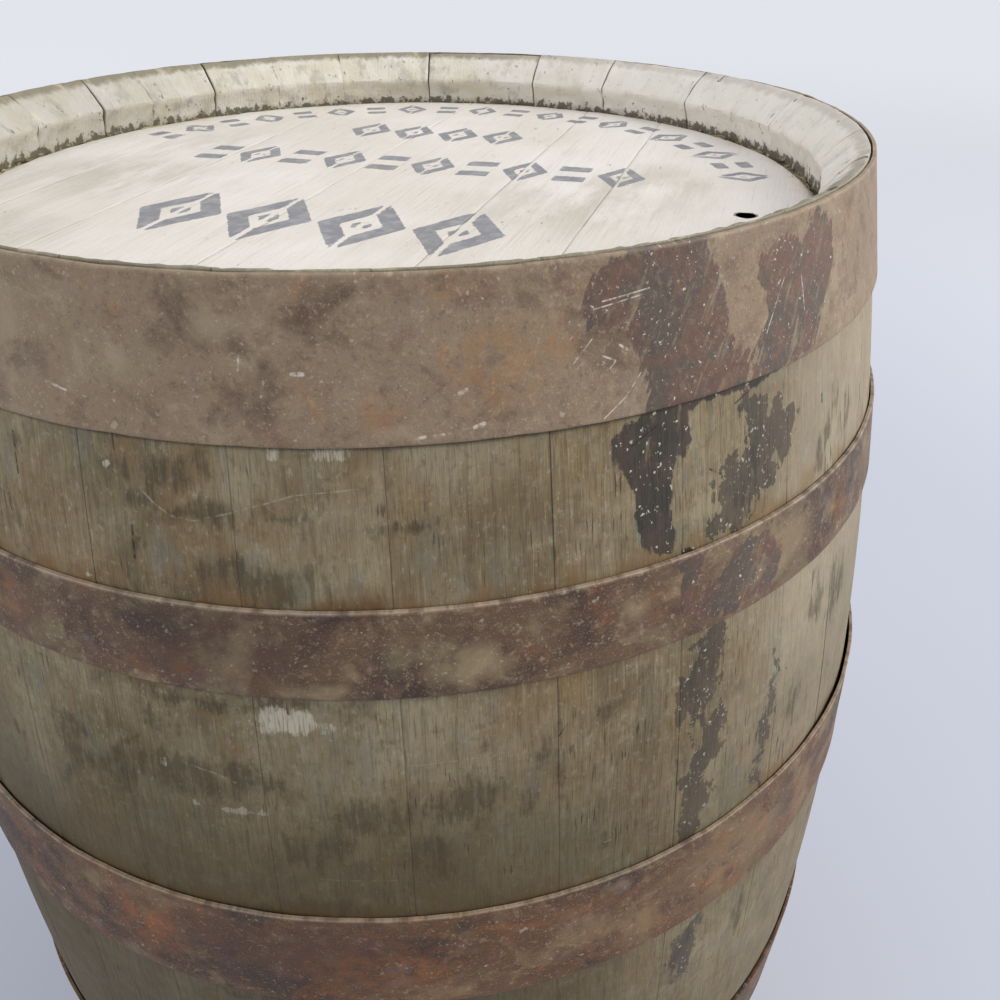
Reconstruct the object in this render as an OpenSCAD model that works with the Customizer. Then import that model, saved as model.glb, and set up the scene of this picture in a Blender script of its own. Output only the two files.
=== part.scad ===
// Oak cask: 28 staves, two boarded heads, six riveted steel hoops and a wooden bung.
// Own frame: +Z up along the cask's axis, origin at the centre of the lower rim, millimetres.

/* [Cask] */
// Height from rim to rim
cask_height = 904; // [700:1:1200]
// Outside diameter over the staves at either rim
rim_diameter = 536; // [400:1:700]
// Outside diameter over the staves at mid height
bilge_diameter = 636; // [500:1:900]
// Thickness of a stave, measured level
stave_thickness = 27; // [20:0.5:35]
// Direction of the first stave joint, anticlockwise from +X
first_joint = -53.6; // [-180:0.1:180]
// Number of the stave that carries the bung hole
bung_stave_number = 11; // [1:1:28]

/* [Chime, the bevelled stave ends] */
// Width of the flat left on a stave's end
chime_flat = 4; // [2:0.5:12]
// Depth of the bevel below the rim
chime_depth = 18; // [10:0.5:25]
// How far the bevel runs inwards
chime_width = 18; // [10:0.5:22]

/* [Heads] */
// Depth of the head's outer face below the rim
head_recess = 35; // [25:0.5:50]
// Thickness of the head boards
head_thickness = 24; // [18:0.5:30]
// Radius of the head where it sits in its groove
head_radius = 254.7; // [200:0.1:340]
// Thickness of the head's edge
head_edge = 6; // [4:0.5:10]
// Direction of the upper head's board joints, from +X
top_grain = 67; // [0:1:180]
// Direction of the lower head's board joints, from +X
bottom_grain = 21; // [0:1:180]
// Diameter of the dowels between head boards
dowel_diameter = 8; // [6:0.5:12]
// Length of the dowels between head boards
dowel_length = 50; // [30:1:70]
// Diameter of the spile peg in the upper head
spile_diameter = 10; // [6:0.5:14]

/* [Hoops] */
// Thickness of the hoop steel
hoop_thickness = 2; // [1.2:0.1:3]
// Least gap between hoop and staves
hoop_gap = 0.3; // [0.2:0.05:1]
// Distance of the head hoop's outer edge from the rim
head_hoop_start = 0.8; // [0:0.2:10]
// Width of the head hoop
head_hoop_width = 61.5; // [30:0.5:90]
// Distance of the quarter hoop's outer edge from the rim
quarter_hoop_start = 130.5; // [90:0.5:220]
// Width of the quarter hoop
quarter_hoop_width = 41.5; // [25:0.5:70]
// Distance of the bilge hoop's outer edge from the rim
bilge_hoop_start = 304; // [220:0.5:380]
// Width of the bilge hoop
bilge_hoop_width = 66; // [30:0.5:90]
// Angle the riveted lap spans
lap_angle = 13; // [8:0.5:20]
// Diameter of a rivet's shank
rivet_diameter = 6; // [4:0.5:8]

/* [Bung] */
// Diameter of the bung at the stave's outer face
bung_diameter = 50; // [30:0.5:60]
// Narrowing of the bung's radius per mm of depth
bung_taper = 0.05; // [0:0.01:0.1]
// Height of the bung above the stave's face
bung_proud = 0.5; // [0:0.5:12]
// Length of the bung
bung_length = 36; // [25:1:60]

/* [Hidden] */
// Share of the circle each stave takes, in degrees
stave_widths = [
    10.6, 14, 14, 11, 12, 11, 11, 18, 14, 20, 16, 12, 12, 12,
    9.5, 14, 14.5, 13, 13, 11, 12, 11, 11, 13, 12, 13, 12, 13.4
];
stave_count = len(stave_widths);
// Offsets of the joints between head boards from the head's centre line
board_joints = [-132, -71, 28, 125, 190];
board_count = len(board_joints) + 1;
// Distance of the dowels from the middle of each joint
dowel_offsets = [95, 120, 125, 110, 80];
// Spile peg: along the boards, across them, and how far it is sunk
spile_along = -22;
spile_across = -211;
spile_sunk = 3;

rim_r = rim_diameter / 2;
bilge_r = bilge_diameter / 2;
mid_z = cask_height / 2;
// Radius of the long arc a stave is bent to
bow = bilge_r - rim_r;
bend_r = (mid_z * mid_z + bow * bow) / (2 * bow);
arc_steps = 10;
slack = 0.1;
joint_half_gap = 0.05;

// Head: heights of its faces and edge below the rim, and its bevels
edge_top = head_recess + 5;
edge_bottom = edge_top + head_edge;
head_bottom = head_recess + head_thickness;
// Radius at which the tongue of the head's edge begins, and the widths of the bevels inside it
tongue_r = head_radius - 5.1;
top_bevel = 6;
under_bevel = 20;
// Groove that holds the head, and the flag seal packed behind its edge
groove_top = edge_top - 2 * slack;
groove_bottom = edge_bottom + 2 * slack;
groove_r = head_radius + 1.8;
seal_inner_r = head_radius + slack;
seal_outer_r = groove_r - slack;
howel_depth = 3.5;
howel_middle = 28;

lap_lift = hoop_thickness + 0.05;
// Rise of the strip from one layer to the lap: its angle, steps, and how far the steps overlap
rise_angle = 4.5;
rise_steps = 6;
rise_bite = 0.1;
// Angle left free between the rise and the strip's inner end
end_gap = 0.4;
rivet_hole_slack = 0.05;
rivet_head_r = 6;
rivet_head_height = 3;
rivet_spread = 2.8;
// Direction of the middle of each hoop's lap, from +X
top_head_lap = 14;
top_quarter_lap = 6;
top_bilge_lap = 18;
bottom_head_lap = 150;
bottom_quarter_lap = 158;
bottom_bilge_lap = 146;

function outer_r(z) = bilge_r - bend_r + sqrt(bend_r * bend_r - pow(z - mid_z, 2));
function inner_r(z) = outer_r(z) - stave_thickness;
function total(list, n) = n <= 0 ? 0 : list[n - 1] + total(list, n - 1);
function joint_at(n) = first_joint + total(stave_widths, n);
function two_digits(n) = str(n < 10 ? "0" : "", n);
function stave_name(n) = n == bung_stave_number ? "bung_stave" : str("stave_", two_digits(n));
function board_name(end, n) = str(end, "_head_board_", n);

bung_azimuth = (joint_at(bung_stave_number - 1) + joint_at(bung_stave_number)) / 2;

// Half of a stave's section at one end, from the rim down to the groove
function end_section(far) = [
    for (p = [
        [rim_r - chime_flat, 0],
        [rim_r - chime_flat - chime_width, chime_depth],
        [inner_r(howel_middle) + howel_depth, howel_middle],
        [inner_r(groove_top) + howel_depth / 2, groove_top],
        [groove_r, groove_top],
        [groove_r, groove_bottom],
        [inner_r(groove_bottom), groove_bottom]
    ]) [p[0], far ? cask_height - p[1] : p[1]]
];

function reversed(list) = [for (i = [len(list) - 1:-1:0]) list[i]];

stave_section = concat(
    [for (i = [0:arc_steps]) [outer_r(i * cask_height / arc_steps), i * cask_height / arc_steps]],
    end_section(true),
    [for (i = [arc_steps - 1:-1:1]) [inner_r(i * cask_height / arc_steps), i * cask_height / arc_steps]],
    reversed(end_section(false))
);

// Turns a part made for the upper end over to the lower end
module at_bottom() {
    translate([0, 0, cask_height])
        mirror([0, 0, 1])
            children();
}

// One stave: a slice of the full ring between two radial joints
module stave(n) {
    color([0.45, 0.40, 0.31])
    difference() {
        rotate_extrude(angle = stave_widths[n - 1], start = joint_at(n - 1), $fn = 90)
            polygon(stave_section);
        if (n == bung_stave_number)
            bung_cone(slack, 12);
    }
}

// Tapered plug along the bung's axis, larger all round by grow and longer by extra at each end
module bung_cone(grow, extra) {
    outer_end = bilge_r + bung_proud + extra;
    inner_end = bilge_r + bung_proud - bung_length - extra;
    face_r = bung_diameter / 2 + grow;
    rotate([0, 0, bung_azimuth])
        translate([inner_end, 0, mid_z])
            rotate([0, 90, 0])
                cylinder(
                    h = outer_end - inner_end,
                    r1 = face_r - bung_taper * (bilge_r - inner_end),
                    r2 = face_r + bung_taper * (outer_end - bilge_r),
                    $fn = 72
                );
}

module bung() {
    color([0.62, 0.50, 0.34]) bung_cone(0, 0);
}

// Whole head before it is cut into boards
module head_disc() {
    rotate_extrude($fn = 120)
        polygon([
            [0, cask_height - head_recess],
            [tongue_r - top_bevel, cask_height - head_recess],
            [tongue_r, cask_height - edge_top],
            [head_radius, cask_height - edge_top],
            [head_radius, cask_height - edge_bottom],
            [tongue_r, cask_height - edge_bottom],
            [tongue_r - under_bevel, cask_height - head_bottom],
            [0, cask_height - head_bottom]
        ]);
}

// Both dowels of joint number j, larger by grow
module dowel_pair(j, grow) {
    for (side = [-1, 1])
        translate([
            side * dowel_offsets[j],
            board_joints[j] - dowel_length / 2 - grow,
            cask_height - head_recess - head_thickness / 2
        ])
            rotate([-90, 0, 0])
                cylinder(h = dowel_length + 2 * grow, d = dowel_diameter + 2 * grow, $fn = 24);
}

// Peg across the whole head, larger by grow, sunk below the outer face
module spile_peg(grow, sunk) {
    translate([spile_along, spile_across, cask_height - head_bottom])
        cylinder(h = head_thickness - sunk, d = spile_diameter + 2 * grow, $fn = 32);
}

// One head board, made for the upper head
module head_board(n, grain, tone) {
    low = n == 1 ? -head_radius - 1 : board_joints[n - 2] + joint_half_gap;
    high = n == board_count ? head_radius + 1 : board_joints[n - 1] - joint_half_gap;
    color(tone)
    intersection() {
        head_disc();
        rotate([0, 0, grain])
            difference() {
                translate([-head_radius - 1, low, cask_height - head_bottom - 1])
                    cube([2 * head_radius + 2, high - low, head_thickness + 2]);
                if (n > 1)
                    dowel_pair(n - 2, slack);
                if (n < board_count)
                    dowel_pair(n - 1, slack);
                if (n == 1 && grain == top_grain)
                    translate([0, 0, -1])
                        spile_peg(slack, -2);
            }
    }
}

module head_dowels(grain) {
    color([0.72, 0.60, 0.42])
    rotate([0, 0, grain])
        for (j = [0:board_count - 2])
            dowel_pair(j, 0);
}

// Ring of dried flag packed behind the head's edge
module head_flag() {
    color([0.40, 0.35, 0.22])
    rotate_extrude($fn = 120)
        polygon([
            [seal_inner_r, cask_height - edge_bottom],
            [seal_outer_r, cask_height - edge_bottom],
            [seal_outer_r, cask_height - edge_top],
            [seal_inner_r, cask_height - edge_top]
        ]);
}

module head_spile() {
    color([0.30, 0.24, 0.17])
    rotate([0, 0, top_grain])
        spile_peg(0, spile_sunk);
}

// A hoop's inner radius at depth d below the rim, for a strip from start to start + width
function hoop_stand_off(width) = hoop_gap + width * width / (8 * bend_r);
function hoop_r(d, width) = outer_r(cask_height - d) + hoop_stand_off(width);
// Tilt of the strip away from upright
function hoop_tilt(start, width) = atan((hoop_r(start + width, width) - hoop_r(start, width)) / width);

// Section of a hoop's steel strip, lifted outwards by lift
module hoop_section(start, width, lift) {
    upper = hoop_r(start, width) + lift;
    lower = hoop_r(start + width, width) + lift;
    polygon([
        [lower, cask_height - start - width],
        [lower + hoop_thickness, cask_height - start - width],
        [upper + hoop_thickness, cask_height - start],
        [upper, cask_height - start]
    ]);
}

// Moves its children to rivet number k (-1 or 1) of a lap, with +Z along the rivet
module at_rivet(start, width, lap, k) {
    depth = start + width * (0.5 + 0.2 * k);
    along = (hoop_r(start, width) * (1 - (depth - start) / width)
        + hoop_r(start + width, width) * (depth - start) / width);
    rotate([0, 0, lap + k * rivet_spread])
        translate([along, 0, cask_height - depth])
            rotate([0, 90 - hoop_tilt(start, width), 0])
                children();
}

// Arc of a hoop's strip from angle a over span degrees, lifted outwards by lift
module hoop_arc(start, width, a, span, lift) {
    rotate_extrude(angle = span, start = a, $fn = 120)
        hoop_section(start, width, lift);
}

// One hoop: a strip once round, a short stepped rise, and the end lapped over the start
module hoop(start, width, lap) {
    outer_start = lap - lap_angle / 2;
    rise_start = outer_start - rise_angle;
    step = rise_angle / rise_steps;
    color([0.34, 0.26, 0.20])
    difference() {
        union() {
            hoop_arc(start, width, outer_start + end_gap, 360 - rise_angle - end_gap + rise_bite, 0);
            for (i = [1:rise_steps])
                hoop_arc(start, width, rise_start + (i - 1) * step, step + rise_bite,
                    lap_lift * i / (rise_steps + 1));
            hoop_arc(start, width, outer_start, lap_angle, lap_lift);
        }
        for (k = [-1, 1])
            at_rivet(start, width, lap, k)
                translate([0, 0, -2])
                    cylinder(h = 10, d = rivet_diameter + 2 * rivet_hole_slack, $fn = 24);
    }
}

// The two rivets of one lap: a shank through both layers and a domed head outside
module lap_rivets(start, width, lap) {
    dome_r = (rivet_head_r * rivet_head_r + rivet_head_height * rivet_head_height) / (2 * rivet_head_height);
    seat = 2 * hoop_thickness + 2 * rivet_hole_slack;
    for (k = [-1, 1])
        at_rivet(start, width, lap, k) {
            translate([0, 0, rivet_hole_slack])
                cylinder(h = seat, d = rivet_diameter, $fn = 24);
            intersection() {
                translate([0, 0, seat + rivet_head_height - dome_r])
                    sphere(r = dome_r, $fn = 24);
                translate([0, 0, seat])
                    cylinder(h = 2 * rivet_head_height, r = rivet_head_r + 1, $fn = 24);
            }
        }
}

module hoop_rivets() {
    color([0.28, 0.22, 0.18]) {
        lap_rivets(head_hoop_start, head_hoop_width, top_head_lap);
        lap_rivets(quarter_hoop_start, quarter_hoop_width, top_quarter_lap);
        lap_rivets(bilge_hoop_start, bilge_hoop_width, top_bilge_lap);
        at_bottom() {
            lap_rivets(head_hoop_start, head_hoop_width, bottom_head_lap);
            lap_rivets(quarter_hoop_start, quarter_hoop_width, bottom_quarter_lap);
            lap_rivets(bilge_hoop_start, bilge_hoop_width, bottom_bilge_lap);
        }
    }
}

module top_head_hoop() { hoop(head_hoop_start, head_hoop_width, top_head_lap); }
module top_quarter_hoop() { hoop(quarter_hoop_start, quarter_hoop_width, top_quarter_lap); }
module top_bilge_hoop() { hoop(bilge_hoop_start, bilge_hoop_width, top_bilge_lap); }
module bottom_head_hoop() { at_bottom() hoop(head_hoop_start, head_hoop_width, bottom_head_lap); }
module bottom_quarter_hoop() { at_bottom() hoop(quarter_hoop_start, quarter_hoop_width, bottom_quarter_lap); }
module bottom_bilge_hoop() { at_bottom() hoop(bilge_hoop_start, bilge_hoop_width, bottom_bilge_lap); }
module top_head_dowels() { head_dowels(top_grain); }
module bottom_head_dowels() { at_bottom() head_dowels(bottom_grain); }
module top_head_flag() { head_flag(); }
module bottom_head_flag() { at_bottom() head_flag(); }

for (n = [1:stave_count])
    stave(n);
for (n = [1:board_count])
    head_board(n, top_grain, [0.86, 0.84, 0.78]);
for (n = [1:board_count])
    at_bottom() head_board(n, bottom_grain, [0.5, 0.43, 0.33]);
top_head_hoop();
top_quarter_hoop();
top_bilge_hoop();
bottom_bilge_hoop();
bottom_quarter_hoop();
bottom_head_hoop();
hoop_rivets();
top_head_dowels();
bottom_head_dowels();
top_head_flag();
bottom_head_flag();
head_spile();
bung();
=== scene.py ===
import math

import bpy
import numpy as np
from mathutils import Euler, Matrix


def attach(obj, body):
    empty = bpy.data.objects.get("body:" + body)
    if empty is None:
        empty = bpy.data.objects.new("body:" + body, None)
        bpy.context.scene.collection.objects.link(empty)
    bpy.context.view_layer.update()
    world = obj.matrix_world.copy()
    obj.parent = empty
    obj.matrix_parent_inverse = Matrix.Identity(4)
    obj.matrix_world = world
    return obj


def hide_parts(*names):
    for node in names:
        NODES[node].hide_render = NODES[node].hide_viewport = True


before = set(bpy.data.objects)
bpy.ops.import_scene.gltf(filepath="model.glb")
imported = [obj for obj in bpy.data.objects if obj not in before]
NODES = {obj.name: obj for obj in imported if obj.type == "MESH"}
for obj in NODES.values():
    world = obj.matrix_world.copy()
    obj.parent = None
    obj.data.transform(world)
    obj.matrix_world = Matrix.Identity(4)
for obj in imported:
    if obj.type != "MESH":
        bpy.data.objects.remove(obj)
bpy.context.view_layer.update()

MM = 0.001

# ---------------------------------------------------------------- sizes, in mm, as in the CAD
HEIGHT = 904.0
MID_Z = HEIGHT / 2
RIM_R = 268.0
BILGE_R = 318.0
STAVE_T = 27.0
FIRST_JOINT = -53.6
STAVE_WIDTHS = [
    10.6, 14, 14, 11, 12, 11, 11, 18, 14, 20, 16, 12, 12, 12,
    9.5, 14, 14.5, 13, 13, 11, 12, 11, 11, 13, 12, 13, 12, 13.4,
]
BUNG_STAVE = 11
BOW = BILGE_R - RIM_R
BEND_R = (MID_Z ** 2 + BOW ** 2) / (2 * BOW)
GROOVE_TOP = 39.8
GROOVE_BOTTOM = 46.2
GROOVE_R = 256.5
HEAD_R = 254.7
HEAD_RECESS = 35.0
TONGUE_R = 249.6
BEVEL_R = 243.6
BOARD_JOINTS = [-132, -71, 28, 125, 190]
TOP_GRAIN = 67.0
BOTTOM_GRAIN = 21.0
SPILE_AT = (-22.0, -211.0)
HOOP_T = 2.0
HOOP_GAP = 0.3
LAP_ANGLE = 13.0
RISE_ANGLE = 4.5
HOOPS = {
    "top_head_hoop": (0.8, 61.5, 14.0, True),
    "top_quarter_hoop": (130.5, 41.5, 6.0, True),
    "top_bilge_hoop": (304.0, 66.0, 18.0, True),
    "bottom_head_hoop": (0.8, 61.5, 150.0, False),
    "bottom_quarter_hoop": (130.5, 41.5, 158.0, False),
    "bottom_bilge_hoop": (304.0, 66.0, 146.0, False),
}
MEAN_R = 295.0
ARC = math.radians(1) * MEAN_R
rng = np.random.default_rng(1812)


def outer_r(z):
    return BILGE_R - BEND_R + np.sqrt(BEND_R ** 2 - (np.asarray(z, float) - MID_Z) ** 2)


def inner_r(z):
    return outer_r(z) - STAVE_T


# ---------------------------------------------------------------- small numeric helpers
def lattice(ix, iy, iz, seed):
    h = (ix * 374761393 + iy * 668265263 + iz * 1442695041 + seed * 974634777) & 0xFFFFFFFF
    h = ((h ^ (h >> 13)) * 1274126177) & 0xFFFFFFFF
    return ((h ^ (h >> 16)) & 0xFFFFFFFF) / 4294967295.0


def noise(x, y, z, seed=0):
    """Smooth value noise from -1 to 1, one feature per unit."""
    x, y, z = np.broadcast_arrays(np.asarray(x, float), np.asarray(y, float), np.asarray(z, float))
    ix, iy, iz = (np.floor(v).astype(np.int64) for v in (x, y, z))
    fx, fy, fz = x - ix, y - iy, z - iz
    fx, fy, fz = (f * f * (3 - 2 * f) for f in (fx, fy, fz))
    total = 0.0
    for dx in (0, 1):
        for dy in (0, 1):
            for dz in (0, 1):
                weight = np.where(dx, fx, 1 - fx) * np.where(dy, fy, 1 - fy) * np.where(dz, fz, 1 - fz)
                total = total + weight * lattice(ix + dx, iy + dy, iz + dz, seed)
    return total * 2 - 1


def smooth(lo, hi, v):
    t = np.clip((v - lo) / (hi - lo), 0, 1)
    return t * t * (3 - 2 * t)


def blob(az, depth, at, size, turn=0.0):
    """1 in the middle of an oval patch, 0 at its edge, negative outside. Sizes in mm."""
    x = (np.asarray(az) - at[0]) * math.radians(1) * MEAN_R
    y = np.asarray(depth) - at[1]
    c, s = math.cos(math.radians(turn)), math.sin(math.radians(turn))
    return 1 - np.sqrt(((x * c + y * s) / size[0]) ** 2 + ((y * c - x * s) / size[1]) ** 2)


def spots(az, depth, table):
    """1 inside the ovals of a table, fading to 0 at their edges."""
    az = (np.asarray(az) + 180) % 360 - 180
    total = np.zeros(np.broadcast(az, depth).shape)
    for at, size in table:
        total = np.maximum(total, np.clip(blob(az, depth, at, size) * 1.6, 0, 1))
    return total


def outline(x, y, corners):
    """Distance in mm to a closed outline, positive inside."""
    px, py = np.asarray(x, float), np.asarray(y, float)
    best = np.full(np.broadcast(px, py).shape, 1e9)
    inside = np.zeros(best.shape, bool)
    for (ax, ay), (bx, by) in zip(corners, corners[1:] + corners[:1]):
        ex, ey = bx - ax, by - ay
        t = np.clip(((px - ax) * ex + (py - ay) * ey) / (ex * ex + ey * ey), 0, 1)
        best = np.minimum(best, (px - ax - t * ex) ** 2 + (py - ay - t * ey) ** 2)
        if ey != 0:
            crosses = (ay > py) != (by > py)
            inside ^= crosses & (px < ex * (py - ay) / ey + ax)
    return np.where(inside, 1, -1) * np.sqrt(best)


# ---------------------------------------------------------------- meshes
def mesh_object(name, points, quads, fields, crease=38):
    me = bpy.data.meshes.new(name)
    me.vertices.add(len(points))
    me.vertices.foreach_set("co", (points * MM).astype(np.float32).ravel())
    me.loops.add(quads.size)
    me.loops.foreach_set("vertex_index", quads.astype(np.int32).ravel())
    me.polygons.add(len(quads))
    me.polygons.foreach_set("loop_start", np.arange(0, quads.size, 4, dtype=np.int32))
    me.update(calc_edges=True)
    me.validate()
    for key, values in fields.items():
        layer = me.attributes.new(key, "FLOAT", "POINT")
        layer.data.foreach_set("value", np.asarray(values, np.float32).ravel())
    me.shade_smooth()
    me.set_sharp_from_angle(angle=math.radians(crease))
    obj = bpy.data.objects.new(name, me)
    bpy.context.scene.collection.objects.link(obj)
    return obj


def tube_quads(rows, cols, capped=True):
    """Faces of a stack of closed loops. A loop is an outer run and the inner run back."""
    i = np.arange(rows - 1)[:, None]
    j = np.arange(cols)[None, :]
    nxt = (j + 1) % cols
    sides = np.stack([i * cols + j, i * cols + nxt, (i + 1) * cols + nxt, (i + 1) * cols + j], -1).reshape(-1, 4)
    if not capped:
        return sides
    k = np.arange(cols // 2 - 1)
    low = np.stack([cols - 1 - k, cols - 2 - k, k + 1, k], -1)
    high = (rows - 1) * cols + np.stack([k, k + 1, cols - 2 - k, cols - 1 - k], -1)
    return np.concatenate([sides, low, high])


def finish_piece(obj, material, slot, body, *stands_for):
    obj.data.materials.clear()
    obj.data.materials.append(material)
    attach(obj, body)
    if stands_for:
        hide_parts(*stands_for)


# ---------------------------------------------------------------- stains: azimuth in degrees, depth below the rim in mm
TAR = [
    [(-73, 2), (-69, -4), (-64, -2), (-63, 12), (-62, 26), (-62, 38), (-60, 50), (-60, 66), (-65, 67), (-71, 66),
     (-71, 46), (-72, 32), (-76, 22), (-76, 16), (-75, 8)],
    [(-56, 8), (-53, 8), (-52, 13), (-51, 2), (-49, 0), (-46, 12), (-46, 30), (-48, 44), (-51, 60), (-57, 66),
     (-60, 64), (-58, 44), (-57, 30), (-59, 20)],
    [(-74, 72), (-71, 64), (-66, 62), (-66, 80), (-68, 95), (-68, 113), (-66, 132), (-70, 130), (-72, 108), (-72, 94)],
    [(-69, 128), (-65, 128), (-66, 148), (-67, 158)],
    [(-61, 136), (-57, 133), (-55, 157), (-57, 170), (-65, 168), (-66, 160)],
]
PATCHY_TAR = [
    [(-60, 70), (-54, 74), (-52, 96), (-56, 114), (-58, 128), (-65, 130), (-64, 106), (-61, 90)],
    [(-66, 172), (-60, 178), (-62, 198), (-63, 217), (-61, 236), (-62, 264), (-63, 302), (-67, 312), (-67, 268),
     (-65, 240), (-68, 216)],
    [(-55, 212), (-53, 240), (-54, 268), (-55, 305), (-57, 300), (-56, 250)],
    [(-63, 90), (-59, 84), (-60, 130), (-64, 132)],
    [(-66, 380), (-62, 376), (-62, 420), (-65, 440)],
]
PALE = [
    ((-101, 187), (19, 8)), ((-109.9, 238), (7, 2.2)), ((-107, 240), (6, 2.5)), ((-105, 239), (7, 2.5)),
    ((-65.8, 191), (2.4, 2.8)), ((-96, 65.5), (12, 3)), ((-100, 66), (9, 2.6)), ((-114.3, 76), (3, 2.5)),
    ((-118.4, 99), (2.5, 4)), ((-117.5, 127), (5, 2.5)), ((-74.3, 280), (3, 2)), ((-113, 218), (2.5, 3)),
]
DARK = [
    ((-107.5, 76), (13, 7)), ((-112.5, 82), (8, 6)), ((-110, 92), (13, 5)), ((-106, 94), (16, 6)),
    ((-101, 86), (16, 4)), ((-112.7, 108), (4, 16)), ((-103, 118), (34, 13)), ((-95, 128), (22, 7)),
    ((-124, 78), (3, 12)), ((-118, 231), (16, 12)), ((-114, 220), (26, 12)), ((-109, 226), (26, 12)),
    ((-104, 220), (20, 9)), ((-94.5, 240), (20, 14)), ((-87, 232), (16, 18)), ((-122, 215), (7, 22)),
    ((-124, 228), (6, 26)), ((-117, 211), (5, 9)), ((-114, 192), (4, 9)), ((-112, 193), (3, 12)),
    ((-130, 245), (5, 16)), ((-100, 262), (22, 18)), ((-90, 266), (12, 14)), ((-94.9, 199), (6, 3.5)),
    ((-74.3, 283), (6, 5)), ((-73.9, 203), (8, 8)), ((-79, 219), (7, 16)), ((-82, 240), (5, 14)),
    ((-86, 196), (5, 9)), ((-44, 96), (7, 16)), ((-47, 118), (9, 22)), ((-40, 110), (5, 22)),
    ((-46, 205), (10, 20)), ((-41, 215), (12, 26)), ((-50, 258), (9, 22)), ((-59, 108), (14, 18)),
    ((-90, 96), (20, 5)), ((-100, 300), (30, 8)), ((-114, 420), (20, 18)), ((-96, 400), (30, 12)),
    ((-56, 410), (5, 30)), ((-64, 400), (4, 24)), ((-106, 151), (44, 22)), ((-104, 334), (60, 34)),
    ((-106, 180), (60, 6)), ((-112, 72), (30, 6)), ((-104, 378), (50, 7)),
]


def stain_fields(az, depth):
    az = (np.asarray(az) + 180) % 360 - 180
    x = az * math.radians(1) * MEAN_R
    deg = math.radians(1) * MEAN_R
    near = (az > -85) & (az < -35) & (depth > -10) & (depth < 470)
    tar = np.full(az.shape, -40.0)
    patchy = np.full(az.shape, -40.0)
    for target, group in ((tar, TAR), (patchy, PATCHY_TAR)):
        for corners in group:
            scaled = [(a * deg, d) for a, d in corners]
            target[near] = np.maximum(target[near], outline(x[near], depth[near], scaled))
    pale = np.full(az.shape, -3.0)
    for at, size in PALE:
        pale = np.maximum(pale, blob(az, depth, at, size))
    dark = np.zeros(az.shape)
    bent_az = az + (10 * noise(x / 24, depth / 17, 1.5, 8) + 5 * noise(x / 9, depth / 9, 2.5, 8)) / deg
    bent_depth = depth + 8 * noise(x / 26, depth / 18, 5.5, 9) + 4 * noise(x / 9, depth / 8, 3.5, 9)
    for at, size in DARK:
        dark = dark + np.clip(blob(bent_az, bent_depth, at, size) * 1.3 + 0.3, 0, 1)
    far_side = smooth(60, 75, np.abs(az + 90))
    dark = dark + far_side * np.clip(noise(x / 45, depth / 60, 3.0, 5) * 1.3 - 0.25, 0, 1)
    patchy = np.maximum(patchy, np.where(np.abs(az + 90) > 75, noise(x / 28, depth / 120, 9.0, 6) * 30 - 19, -40))
    return {"tar": tar, "patchy": patchy, "pale": pale, "dark": np.clip(dark, 0, 1), "sx": x * MM}


# ---------------------------------------------------------------- staves
def end_rows():
    """Depth below the rim and inner radius of the rows at a stave's end."""
    depths = [0, 0.5, 1.4, 3, 5, 7.5, 10, 12.5, 15, 17, 18.6, 20.5, 23, 26, 29, 32, 35, 38]
    radii = [265.6, 264.6, 262.9, 260.8, 258.7, 256.4, 254, 251.7, 249.4, 247.6, 246.7, 247.0, 248.3, 249.5, 250.3,
             250.8, 251.1, 251.2]
    depths += [39.8, 39.85, 46.15, 46.2]
    radii += [251.2, 256.5, 256.5, float(inner_r(HEIGHT - 46.2))]
    return depths, radii


def stave_rows():
    depths, radii = end_rows()
    low = [(d, r) for d, r in zip(depths, radii)]
    middle = [z for z in np.arange(50, 452, 6.0)] + [z for z in np.arange(452, 855, 4.0)]
    rows = low + [(z, float(inner_r(z))) for z in middle] + [(HEIGHT - d, r) for d, r in reversed(low)]
    return np.array(rows)


JOINT_OPEN = {13: 1.5, 10: 1.0, 9: 0.7, 8: 0.45, 7: 0.4, 15: 0.8}


def joint_gap(number, inside, depth):
    """Half the gap at joint `number`, in mm: open at the chime's inner side, tight elsewhere."""
    opened = JOINT_OPEN.get(number % len(STAVE_WIDTHS), 0.06 + 0.05 * float(noise(number * 3.7, 1, 1, 2)))
    fade = 1 - smooth(12, 40, depth)
    return 0.04 + np.where(inside, opened, opened * 0.2) * fade * 0.5


def chip_profile(arc, seed, count, biggest):
    """Depth in mm of the chips along a stave's end."""
    r = np.random.default_rng(seed)
    total = np.zeros_like(arc)
    for _ in range(count):
        at = r.uniform(arc.min(), arc.max())
        wide = r.uniform(1.5, 6.0)
        deep = r.uniform(0.3, 1.0) ** 2 * biggest
        total = np.maximum(total, deep * np.clip(1 - np.abs(arc - at) / wide, 0, 1) ** 0.7)
    return total


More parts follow.
